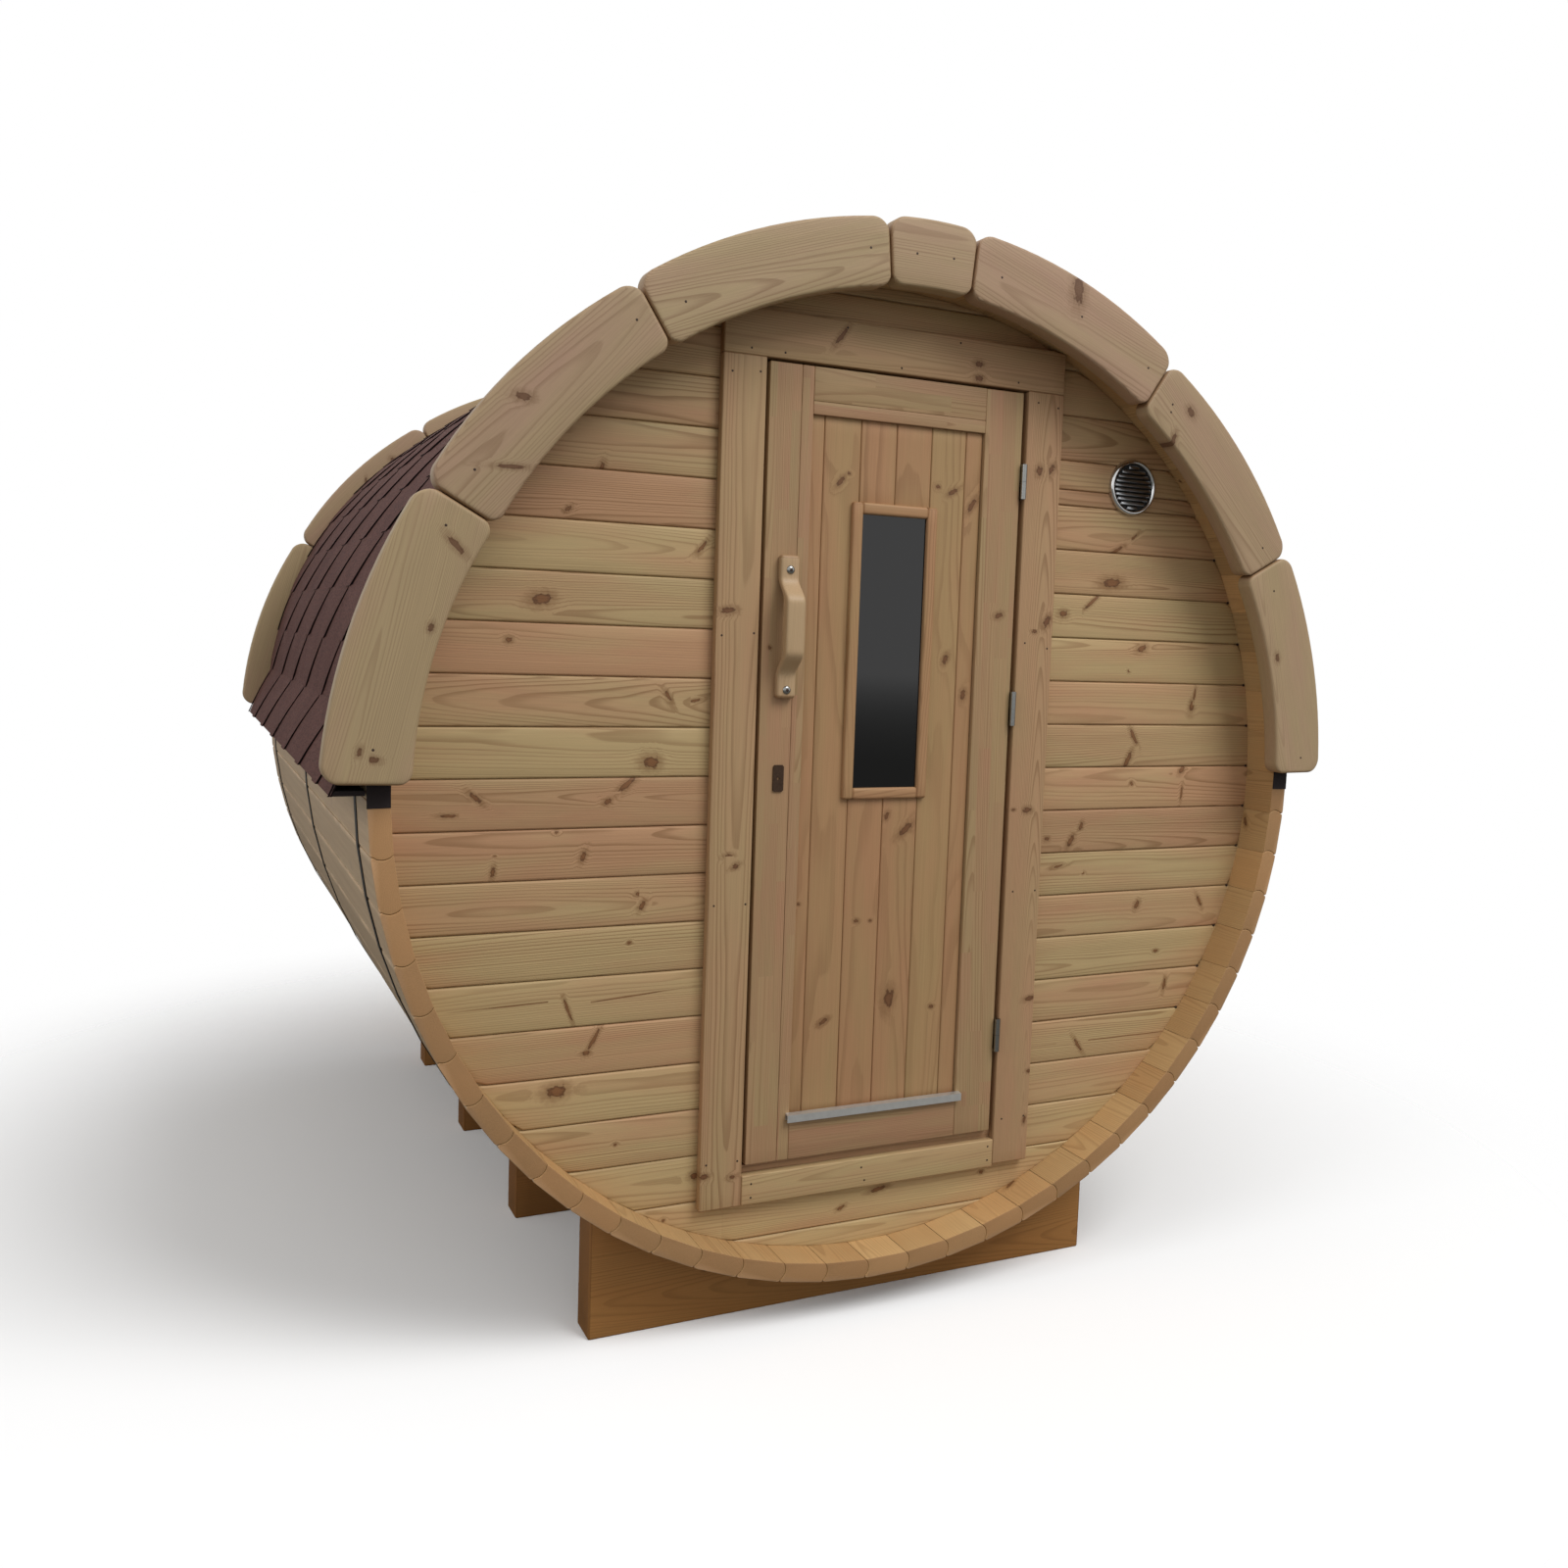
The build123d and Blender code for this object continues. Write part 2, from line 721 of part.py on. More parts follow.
# Eave battens: strips on the staves that carry the kicked-out edge of the shingles
batten_foot = rim_point(roof_radius, eave_angle + eave_batten_angle)[1]
batten_top = batten_foot + eave_batten_height
batten_back = roof_radius + seat_clearance
batten_top_angle = eave_angle + eave_batten_angle + degrees(eave_batten_height / barrel_radius)
batten_face = roof_radius + flare(batten_top_angle) + eave_batten_bevel - eave_batten_reveal
with BuildPart() as battens:
    with BuildSketch(upright(front_end)):
        for side in (1, -1):
            with BuildLine() as outline:
                Polyline(
                    (side * batten_back, batten_foot),
                    (side * batten_face, batten_foot),
                    (side * (batten_face - eave_batten_bevel), batten_top),
                    (side * batten_back, batten_top),
                    close=True,
                )
            make_face(outline.edges())
    extrude(amount=-barrel_length)
save(battens, "eave_battens")

# Vent: a louvred round cover with a sleeve through the wall
with BuildPart() as vent:
    with BuildSketch(upright(wall_front - vent_face)):
        with Locations((vent_x, vent_rise)):
            Circle(vent_radius)
    extrude(amount=-vent_face)
    with BuildSketch(upright(wall_front - vent_proud)):
        with Locations((vent_x, vent_rise)):
            Circle(vent_radius)
            Circle(vent_radius - vent_rim, mode=Mode.SUBTRACT)
    extrude(amount=-(vent_proud - vent_face))
    louvre_reach = vent_radius - vent_rim - louvre_end_gap
    louvre_pitch = 2 * louvre_reach / louvre_count
    for place in range(louvre_count):
        louvre_shift = (place + 0.5) * louvre_pitch - louvre_reach
        half_chord = sqrt(louvre_reach**2 - (abs(louvre_shift) + louvre_height / 2) ** 2)
        louvre_side = Plane(
            origin=(vent_x - half_chord, wall_front - vent_face, axis_height + vent_rise + louvre_shift),
            x_dir=(0, -1, 0),
            z_dir=(-1, 0, 0),
        )
        with BuildSketch(louvre_side):
            with BuildLine():
                Polyline(
                    (0, louvre_height / 2),
                    (0, -louvre_height / 2),
                    (louvre_height, -louvre_height / 2),
                    close=True,
                )
            make_face()
        extrude(amount=-2 * half_chord)
    with BuildSketch(upright(wall_front)):
        with Locations((vent_x, vent_rise)):
            Circle(vent_bore_radius + vent_sleeve)
            Circle(vent_bore_radius, mode=Mode.SUBTRACT)
    extrude(amount=-wall_thickness)
save(vent, "wall_vent")

# Floor: boards along the cabin on bearers that sit in the curve of the staves
bearer_top = floor_rise - floor_board_thickness
with BuildPart() as bearers:
    for place in (-1, 0, 1):
        with BuildSketch(upright(place * bearer_spacing - bearer_thickness / 2)):
            slab(-barrel_radius, barrel_radius, -barrel_radius, bearer_top)
            barrel_ring(inner_radius - seat_clearance, mode=Mode.INTERSECT)
        extrude(amount=-bearer_thickness)
save(bearers, "floor_bearers")

floor_width = floor_board_count * floor_board_width + (floor_board_count - 1) * floor_board_gap
with BuildPart() as floor_boards:
    with BuildSketch(upright(wall_front + jamb_depth + floor_end_gap)):
        for place in range(floor_board_count):
            board_left = -floor_width / 2 + place * (floor_board_width + floor_board_gap)
            slab(board_left, board_left + floor_board_width, bearer_top, floor_rise)
    extrude(amount=wall_front + jamb_depth + floor_end_gap + wall_back + floor_end_gap)
save(floor_boards, "floor_boards")
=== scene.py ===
"""Barrel sauna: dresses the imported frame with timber, shingles, glass and metal.

Every piece of timber is worked out with numpy as a section carried along its length. Its vertices
carry the place inside the log that it was sawn from ("log") and its brightness, heartwood and
greying ("tone"). The corners of its faces carry the offset from the nearest knot ("knot") and
whether they belong to end grain ("end"). From these, one recipe for wood draws every board.
Metres. "Rise" is a height above the barrel's axis, "out" is a distance towards the front, -Y.
"""

import bmesh
import bpy
import numpy as np
from mathutils import Matrix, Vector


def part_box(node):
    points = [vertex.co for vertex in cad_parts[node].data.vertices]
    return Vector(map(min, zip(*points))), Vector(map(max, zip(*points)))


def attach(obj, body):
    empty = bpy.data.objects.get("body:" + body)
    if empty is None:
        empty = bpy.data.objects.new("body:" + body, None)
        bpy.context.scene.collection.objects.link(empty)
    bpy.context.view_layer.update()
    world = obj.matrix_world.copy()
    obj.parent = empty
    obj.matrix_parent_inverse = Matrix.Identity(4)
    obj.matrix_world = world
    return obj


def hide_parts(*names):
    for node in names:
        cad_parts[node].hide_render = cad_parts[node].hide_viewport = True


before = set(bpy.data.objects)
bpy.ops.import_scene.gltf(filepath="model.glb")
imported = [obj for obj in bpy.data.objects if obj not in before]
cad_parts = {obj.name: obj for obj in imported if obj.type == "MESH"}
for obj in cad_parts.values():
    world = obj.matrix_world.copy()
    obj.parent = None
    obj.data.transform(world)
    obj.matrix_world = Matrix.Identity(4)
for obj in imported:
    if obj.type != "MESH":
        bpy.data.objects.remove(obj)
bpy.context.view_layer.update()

dice = np.random.default_rng(66)

# Places taken from the frame
barrel_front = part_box("barrel_staves_1")[0][1]
barrel_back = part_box("barrel_staves_1")[1][1]
axis_z = (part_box("hoops")[0][2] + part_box("hoops")[1][2]) / 2
wall_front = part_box("front_wall_left")[0][1]
wall_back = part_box("front_wall_left")[1][1]
opening_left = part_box("front_wall_left")[1][0]
opening_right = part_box("front_wall_right")[0][0]
opening_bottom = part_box("front_wall_under_door")[1][2] - axis_z
opening_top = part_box("front_wall_over_door")[0][2] - axis_z
leaf_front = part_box("door_stile_left")[0][1]
casing_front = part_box("casing_left")[0][1]
fascia_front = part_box("front_fascia")[0][1]

# Real sizes
barrel_radius = 1.000
stave_thickness = 0.038
stave_count = 66
stave_start = -86.5
stave_bead = 0.007
stave_notch = 0.0045
wall_board_pitch = 0.0928
wall_groove_rise = 0.7537
right_groove_lift = 0.0095
ripped_board_rise = 0.610
wall_grip = 0.001
wall_reach = barrel_radius - stave_thickness + wall_grip
casing_gap = 0.0016
fascia_inner = 0.925
fascia_outer = 1.052
fascia_joint_angles = (0.9, 28.5, 56.5, 84.6, 95.0, 123.1, 150.9, 179.1)
fascia_gap = 0.0025
nail_proud = 0.0004
course_start = 7.0
course_angle = 6.7
course_count = 12
eave_angle = -0.3
eave_flare = 0.052
right_eave_lift = 0.026
roof_radius = 1.0021
tab_pitch = 0.333
tab_foot = 0.066
tab_first_notch = 0.0025

# How far each fascia board stands outside or inside the two arcs at its start, middle and end, in mm
fascia_outer_shifts = (
    (5, 3, -1), (-4, -3, -6), (2, 9, 12), (13, 14, 12), (10, 4, -3), (-4, -1, -2), (1, 13, 26),
)
fascia_inner_shifts = (
    (5, 2, -2), (-4, -7, -4), (2, 6, 14), (15, 15, 15), (12, 3, -3), (-3, -5, -8), (-6, 4, 8),
)

# Knots that show on the front, as x, rise, radius, stretch and slant in degrees
left_wall_knots = (
    (-0.695, 0.332, 0.010, 1.5, 10), (-0.751, 0.258, 0.005, 1.0, 0), (-0.453, 0.163, 0.004, 2.4, -60),
    (-0.400, 0.155, 0.003, 3.0, 10), (-0.484, 0.039, 0.011, 1.15, 0), (-0.394, 0.442, 0.004, 3.2, 50),
    (-0.528, -0.001, 0.006, 3.0, 40), (-0.565, -0.033, 0.005, 1.3, 30), (-0.853, -0.053, 0.003, 4.0, 0),
    (-0.659, -0.087, 0.003, 1.0, 0), (-0.609, -0.134, 0.005, 1.6, 70), (-0.770, -0.128, 0.002, 1.0, 0),
    (-0.773, -0.156, 0.004, 2.0, 80), (-0.501, -0.208, 0.004, 1.3, 0), (-0.494, -0.231, 0.005, 1.6, 60),
    (-0.517, -0.300, 0.003, 1.0, 0), (-0.631, -0.420, 0.003, 7.0, -70), (-0.581, -0.478, 0.004, 5.0, 60),
    (-0.596, -0.503, 0.005, 1.2, 0), (-0.651, -0.571, 0.012, 1.3, 5), (-0.535, -0.687, 0.003, 1.0, 0),
    (-0.373, -0.771, 0.007, 1.2, 0), (-0.435, -0.851, 0.003, 1.0, 0), (-0.590, 0.569, 0.005, 2.0, 70),
    (-0.649, 0.494, 0.004, 1.6, 30),
    # Two hairline cracks, drawn as very long, thin knots
    (-0.722, -0.402, 0.0011, 50.0, 1.5), (-0.522, -0.403, 0.0011, 55.0, 4),
)
right_wall_knots = (
    (0.600, 0.522, 0.003, 3.0, 35), (0.554, 0.490, 0.004, 4.0, 30), (0.546, 0.421, 0.010, 1.9, 5),
    (0.425, 0.350, 0.007, 1.2, 0), (0.499, 0.379, 0.004, 6.0, 40), (0.638, 0.282, 0.007, 1.5, 20),
    (0.606, 0.232, 0.003, 1.0, 0), (0.793, 0.184, 0.003, 4.0, 80), (0.787, 0.157, 0.007, 1.4, 80),
    (0.629, 0.088, 0.005, 3.4, -60), (0.615, 0.034, 0.006, 3.0, 65), (0.770, 0.014, 0.006, 1.6, 50),
    (0.772, -0.040, 0.003, 4.0, 85), (0.500, -0.108, 0.005, 1.6, 70), (0.474, -0.140, 0.006, 2.0, 60),
    (0.412, -0.133, 0.004, 1.3, 0), (0.446, -0.194, 0.003, 3.5, 10), (0.512, -0.212, 0.003, 1.0, 0),
    (0.664, -0.290, 0.006, 1.4, 60), (0.725, -0.399, 0.004, 1.3, 0), (0.755, -0.478, 0.004, 3.0, 80),
    (0.523, -0.598, 0.004, 4.0, -55),
    # A hairline crack
    (0.635, -0.590, 0.0010, 110.0, 0),
)
casing_knots = (
    (-0.131, 0.855, 0.005, 3.4, 52), (0.176, 0.838, 0.006, 1.2, 0), (0.178, 0.810, 0.006, 1.3, 0),
    (0.333, 0.640, 0.007, 1.2, 80), (0.362, 0.645, 0.007, 1.3, 60), (0.370, 0.331, 0.007, 1.6, 60),
    (0.340, 0.310, 0.004, 1.3, 0), (-0.346, 0.326, 0.006, 1.9, 5), (-0.330, -0.141, 0.005, 1.5, 0),
    (-0.316, -0.160, 0.005, 1.2, 30),
    (-0.362, -0.767, 0.005, 1.6, 0), (-0.303, -0.776, 0.004, 1.3, 0), (0.344, -0.066, 0.006, 1.4, 0),
    (0.310, -0.065, 0.003, 1.3, 0), (0.375, -0.475, 0.005, 2.2, 10), (0.382, -0.636, 0.004, 1.4, 0),
    (0.376, -0.744, 0.004, 1.6, 80),
)
panel_knots = (
    (-0.100, 0.600, 0.003, 1.2, 0), (-0.118, 0.583, 0.005, 2.0, 50), (0.100, 0.590, 0.004, 1.2, 0),
    (0.134, 0.582, 0.005, 2.0, 30), (0.180, 0.559, 0.006, 2.2, 60), (0.133, 0.246, 0.006, 1.4, 70),
    (0.179, 0.174, 0.006, 1.5, 80), (-0.176, -0.243, 0.003, 1.0, 0), (-0.047, -0.284, 0.004, 1.2, 0),
    (-0.015, -0.285, 0.003, 1.0, 0), (0.013, -0.072, 0.005, 1.4, 70), (0.057, -0.101, 0.007, 2.2, 40),
    (0.035, -0.449, 0.010, 1.7, 85), (0.136, -0.475, 0.004, 1.2, 0), (-0.113, -0.485, 0.005, 1.8, 30),
)
fascia_knots = (
    (0.333, 0.983, 0.013, 1.7, 70), (0.631, 0.776, 0.008, 1.2, 0), (0.588, 0.711, 0.006, 2.6, 60),
    (0.911, 0.273, 0.006, 1.3, 0), (-0.868, 0.411, 0.006, 2.6, -60), (-0.907, 0.276, 0.005, 1.2, 0),
    (-1.017, 0.072, 0.004, 1.6, 0), (-0.996, 0.059, 0.005, 1.8, 80), (-0.762, 0.661, 0.007, 1.6, 50),
    (-0.780, 0.545, 0.004, 5.0, 45),
)

# Nail heads, as x and rise
casing_nails = (
    (-0.315, 0.811), (-0.247, 0.810), (-0.352, 0.765), (-0.296, 0.770), (-0.119, 0.872), (0.132, 0.874),
    (0.001, 0.810), (0.272, 0.812), (0.323, 0.777), (0.372, 0.771), (-0.358, 0.279), (-0.293, 0.285),
    (0.318, 0.285), (0.374, 0.275), (-0.358, -0.235), (-0.293, -0.235), (0.318, -0.240), (0.374, -0.240),
    (-0.358, -0.745), (-0.293, -0.745), (0.318, -0.735), (0.374, -0.735),
    (-0.262, -0.796), (-0.262, -0.824), (0.286, -0.792), (0.286, -0.822), (-0.018, -0.796), (-0.010, -0.824),
)
fascia_nails = (
    (0.154, 0.982), (0.344, 0.933), (0.514, 0.853), (0.582, 0.787), (0.579, 0.771), (0.849, 0.509),
    (0.889, 0.418), (0.999, 0.051), (-0.484, 0.851), (-0.130, 0.995), (-0.033, 0.999), (0.046, 1.001),
    (-0.571, 0.809), (-0.885, 0.442), (-0.996, 0.075), (-0.840, 0.535),
)

# Share of pink heartwood in each wall board, from the groove at wall_groove_rise downwards
left_wall_blush = (0.6, 0.35, 0.9, 0.2, 0.2, 0.95, 0.55, 0.0, 0.8, 0.8, 0.6, 0.2, 0.1, 0.65, 0.15, 0.4, 0.3)
right_wall_blush = (0.7, 0.7, 0.6, 0.5, 0.05, 0.1, 0.6, 0.4, 0.75, 0.8, 0.3, 0.6, 0.1, 0.6, 0.3, 0.5, 0.3)

# Brightness and pink heartwood of the fascia boards, from the right eave over the top
fascia_shade = (0.3, -0.2, 0.0, 0.2, 0.2, -0.5, 0.4)
fascia_blush = (0.15, 0.55, 0.6, 0.4, 0.25, 0.45, 0.1)

x_axis = np.array((1.0, 0.0, 0.0))
y_axis = np.array((0.0, 1.0, 0.0))
z_axis = np.array((0.0, 0.0, 1.0))
axis_point = np.array((0.0, 0.0, axis_z))


def linear(code):
    """Linear red, green, blue and alpha of an sRGB hex colour."""
    parts = np.array([int(code[i:i + 2], 16) / 255 for i in (1, 3, 5)])
    low = parts / 12.92
    high = ((parts + 0.055) / 1.055) ** 2.4
    return (*np.where(parts <= 0.04045, low, high), 1.0)


# Knot coordinates of a board without knots
far_from_knots = 50.0


# Timber shapes
def eased_stations(start, end, edge, step, warp=None):
    """Stations from start to end about one step apart, and the section's inset at each of them.

    Over the first and last edge-length the inset follows a quarter circle from the edge radius to 0.
    warp="both", "start" or "end" crowds the stations there by a cosine law.
    """
    count = max(2, int(round((end - start - 2 * edge) / step)) + 1)
    share = np.linspace(0.0, 1.0, count)
    if warp == "both":
        share = (1 - np.cos(np.pi * share)) / 2
    if warp == "start":
        share = 1 - np.cos(np.pi / 2 * share)
    if warp == "end":
        share = np.sin(np.pi / 2 * share)
    middle = start + edge + share * (end - start - 2 * edge)
    turn = np.linspace(0.0, np.pi / 2, 4)[:-1]
    offset = edge * (1 - np.cos(turn))
    inset = edge * (1 - np.sin(turn))
    stations = np.concatenate((start + offset, middle, (end - offset)[::-1]))
    return stations, np.concatenate((inset, np.zeros(count), inset[::-1]))


def rounded_section(low, high, back, front, edges, inset, face_points=0):
    """Rectangles from low to high and back to front, one for each station, with corners of quarter
    circles: centre plus radius times (cos a, sin a). edges holds one radius, or four for the corners
    high front, low front, low back and high back. face_points more points divide the front face.
    The result has the shape stations, loop, 2."""
    corner = np.repeat(np.arange(4), 4)
    angle = np.radians(np.tile(np.linspace(0.0, 90.0, 4), 4) + 90.0 * corner)
    sign_w = np.array((1, -1, -1, 1))[corner]
    sign_d = np.array((1, 1, -1, -1))[corner]
    edge = np.broadcast_to(np.array(edges), 4)[corner]
    low, high, back, front = (
        np.broadcast_to(value, inset.shape) for value in (low, high, back, front)
    )
    least_half = 0.0004
    half_w = np.maximum((high - low) / 2 - inset, least_half)[:, None]
    half_d = np.maximum((front - back) / 2 - inset, least_half)[:, None]
    # The corners sharpen where the section is inset, and never take up the whole of it
    radius = np.clip(edge - inset[:, None], 0.15 * edge, None)
    radius = np.minimum(radius, 0.9 * np.minimum(half_w, half_d))
    middle_w = ((high + low) / 2)[:, None]
    middle_d = ((front + back) / 2)[:, None]
    width = middle_w + sign_w * (half_w - radius) + radius * np.cos(angle)
    depth = middle_d + sign_d * (half_d - radius) + radius * np.sin(angle)
    section = np.stack((width, depth), axis=-1)
    if face_points:
        share = (np.arange(1, face_points + 1) / (face_points + 1))[None, :, None]
        between = section[:, 3:4] + share * (section[:, 4:5] - section[:, 3:4])
        section = np.concatenate((section[:, :4], between, section[:, 4:]), axis=1)
    return section


def log_place(centre, upright_rings=False):
    """Where in its log a board was sawn: its centre, the centre's place from the pith, which is up to
    50 mm aside and 30 to 100 mm above or below, and its tilt. With upright rings the board lies
    further aside and nearer the pith's level, and tilts less."""
    length = dice.uniform(0.0, 40.0)
    side = dice.uniform(-0.05, 0.05)
    depth = dice.uniform(0.03, 0.10) * dice.choice((-1, 1))
    tilt = dice.normal(0.0, 0.012, 2)
    if upright_rings:
        side += np.copysign(0.07, side)
        depth = depth / 2
        tilt = tilt / 3
    return centre, np.array((length, side, depth)), tilt


def timber(points, along, across, origin=axis_point, knots=(), blush=None, shade=None, sawn=None):
    """One closed skin from world points of the shape stations, loop, 3, with its wood facts.

    along and across are the board's grain directions. The log coordinates are the place in that
    frame, moved off the pith and tilted a little, so that every board shows other rings. Knots are
    rows of along, across, radius, stretch and slant in the same frame; the knot coordinates are the
    offset from the nearest one, turned by its slant and divided by its two half widths.
    """
    depth = np.cross(along, across)
    local = (points - origin) @ np.stack((along, across, depth), axis=1)
    centre, pith, tilt = sawn or log_place(local.reshape(-1, 3).mean(axis=0))
    log = local - centre + pith
    log[..., 1] += tilt[0] * (local[..., 0] - centre[0])
    log[..., 2] += tilt[1] * (local[..., 0] - centre[0])
    stations, loop = points.shape[:2]
    first = np.arange(stations - 1)[:, None] * loop + np.arange(loop)
    second = np.arange(stations - 1)[:, None] * loop + (np.arange(loop) + 1) % loop
    quads = np.stack((first, second, second + loop, first + loop), axis=-1).reshape(-1, 4)
    caps = np.stack((np.arange(loop)[::-1], (stations - 1) * loop + np.arange(loop)))
    flat = local.reshape(-1, 3)
    corner_index = np.concatenate((quads.ravel(), caps.ravel()))
    face_of_quad = np.repeat(np.arange(len(quads)), 4)
    face_of_cap = np.repeat(len(quads) + np.arange(2), loop)
    face_index = np.concatenate((face_of_quad, face_of_cap))
    knot_vector = np.full((len(corner_index), 3), far_from_knots)
    if len(knots):
        rows = np.array(knots, float)
        spots, radius, stretch, slant = rows[:, :2], rows[:, 2], rows[:, 3], np.radians(rows[:, 4])
        middles = np.concatenate((flat[quads].mean(axis=1), flat[caps].mean(axis=1)))
        apart = (middles[:, None, :2] - spots[None]) / (radius[None, :, None] * stretch[None, :, None]) ** 0.5
        nearest = np.argmin((apart**2).sum(axis=2), axis=1)[face_index]
        offset = flat[corner_index][:, :2] - spots[nearest]
        cosine, sine = np.cos(slant[nearest]), np.sin(slant[nearest])
        knot_vector[:, 0] = (offset[:, 0] * cosine + offset[:, 1] * sine) / (radius * stretch)[nearest]
        knot_vector[:, 1] = (offset[:, 1] * cosine - offset[:, 0] * sine) / radius[nearest]
        knot_vector[:, 2] = nearest * 0.37 + radius[nearest] * 100
    blush = dice.uniform(0.0, 1.0) if blush is None else blush
    shade = dice.normal(0.0, 0.5) if shade is None else shade
    row = np.arange(stations - 1)
    near_end = np.where((row < 3) | (row > stations - 5), 0.7, 0.0)
    return {
        "points": points.reshape(-1, 3),
        "quads": quads,
        "caps": caps,
        "log": log.reshape(-1, 3),
        "tone": np.broadcast_to(np.array((shade, blush, 0.0)), (stations * loop, 3)).copy(),
        "knot": knot_vector,
        "end": np.concatenate((np.repeat(near_end, 4 * loop), np.ones(caps.size))),
    }


def straight(stations, inset, low, high, back, front, edges, along, across, out, face_points=0, **wood_facts):
    """A straight timber: stations run along, low to high across, and back to front outwards."""
    section = rounded_section(low, high, back, front, edges, inset, face_points)
    points = (
        axis_point
        + stations[:, None, None] * along
        + section[..., :1] * across
        + section[..., 1:] * out
    )
    return timber(points, along, across, **wood_facts)


def random_knots(start, end, low, high, per_metre=1.6, largest=0.010):
    """Knots scattered over a board, most of them small, some slanting. Narrow strips get none."""
    narrowest = 0.03
    shortest = 0.06
    smallest = 0.002
    end_margin = 0.02
    edge_margin = 0.012
    if high - low < narrowest or end - start < shortest:
        return []
    count = dice.poisson(per_metre * (end - start))
    along = dice.uniform(start + end_margin, end - end_margin, count)
    across = dice.uniform(low + edge_margin, high - edge_margin, count)
    radius = smallest + (largest - smallest) * dice.uniform(0.0, 1.0, count) ** 1.6
    stretch = 1.0 + 2.2 * dice.uniform(0.0, 1.0, count) ** 3
    return list(zip(along, across, radius, stretch, dice.uniform(-80.0, 80.0, count)))


def front_knots(knots, direction):
    """Knots given as x and rise, for boards that run along "x" or "z"."""
    if direction == "x":
        return list(knots)
    return [(rise, x, radius, stretch, 90.0 - slant) for x, rise, radius, stretch, slant in knots]


def finish_piece(name, mesh, material, body, nodes, smooth=40.0):
    """Puts a mesh into the scene as a piece that rides on a body and stands for CAD nodes."""
    piece = bpy.data.objects.new(name, mesh)
    bpy.context.scene.collection.objects.link(piece)
    mesh.materials.append(material)
    mesh.shade_smooth()
    mesh.set_sharp_from_angle(angle=np.radians(smooth))
    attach(piece, body)
    if nodes:
        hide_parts(*nodes)
    return piece


def outward(mesh):
    """Turns the faces of closed shells outwards."""
    shells = bmesh.new()
    shells.from_mesh(mesh)
    bmesh.ops.recalc_face_normals(shells, faces=shells.faces)
    shells.to_mesh(mesh)
    shells.free()


def add_timbers(name, timbers, material, body, nodes):
    """Joins timbers into one piece with the attributes that the wood material reads."""
    starts = np.cumsum([0] + [len(board["points"]) for board in timbers])
    faces = []
    for board, start in zip(timbers, starts):
        faces += (board["quads"] + start).tolist()
        faces += (board["caps"] + start).tolist()
    mesh = bpy.data.meshes.new(name)
    mesh.from_pydata(np.concatenate([board["points"] for board in timbers]).tolist(), [], faces)
    for key, domain in (("log", "POINT"), ("tone", "POINT"), ("knot", "CORNER")):
        values = np.concatenate([board[key] for board in timbers]).astype(np.float32)
        layer = mesh.attributes.new(key, "FLOAT_VECTOR", domain)
        layer.data.foreach_set("vector", values.ravel())
    ends = np.concatenate([board["end"] for board in timbers]).astype(np.float32)
    mesh.attributes.new("end", "FLOAT", "CORNER").data.foreach_set("value", ends)
    outward(mesh)
    return finish_piece(name, mesh, material, body, nodes)


def add_grids(name, grids, material, body, nodes, closed=(True, True), smooth=40.0):
    """Joins plain surfaces, each an array of the shape rows, columns, 3, into one piece.

    closed says whether the columns wrap round and whether the two end rows are capped.
    """
    points = []
    faces = []
    start = 0
    for grid in grids:
        rows, columns = grid.shape[:2]
        span = columns if closed[0] else columns - 1
        first = np.arange(rows - 1)[:, None] * columns + np.arange(span)
        second = np.arange(rows - 1)[:, None] * columns + (np.arange(span) + 1) % columns
        quads = np.stack((first, second, second + columns, first + columns), axis=-1).reshape(-1, 4)
        faces += (quads + start).tolist()
        if closed[1]:
            faces.append((start + np.arange(columns)[::-1]).tolist())
            faces.append((start + (rows - 1) * columns + np.arange(columns)).tolist())
        points.append(grid.reshape(-1, 3))
        start += rows * columns
    mesh = bpy.data.meshes.new(name)
    mesh.from_pydata(np.concatenate(points).tolist(), [], faces)
    outward(mesh)
    return finish_piece(name, mesh, material, body, nodes, smooth)


# Materials
def new_material(name):
    """An empty node material and its tree."""
    material = bpy.data.materials.new(name)
    material.use_nodes = True
    material.node_tree.nodes.clear()
    return material, material.node_tree


def add(tree, kind, inputs=None, output=0, **settings):
    """Adds one node with its settings, values and links, and returns one of its outputs."""
    made = tree.nodes.new(kind)
    for key, value in settings.items():
        setattr(made, key, value)
    for key, value in (inputs or {}).items():
        if isinstance(value, bpy.types.NodeSocket):
            tree.links.new(value, made.inputs[key])
        else:
            made.inputs[key].default_value = value
    return made.outputs[output] if made.outputs else made


# Settings that many nodes share. A colour mix takes its colours at the inputs 6 and 7; a map range
# takes the old range at 1 and 2 and the new one at 3 and 4
colour_mix = {"output": 2, "data_type": "RGBA"}
soft_step = {"interpolation_type": "SMOOTHSTEP"}


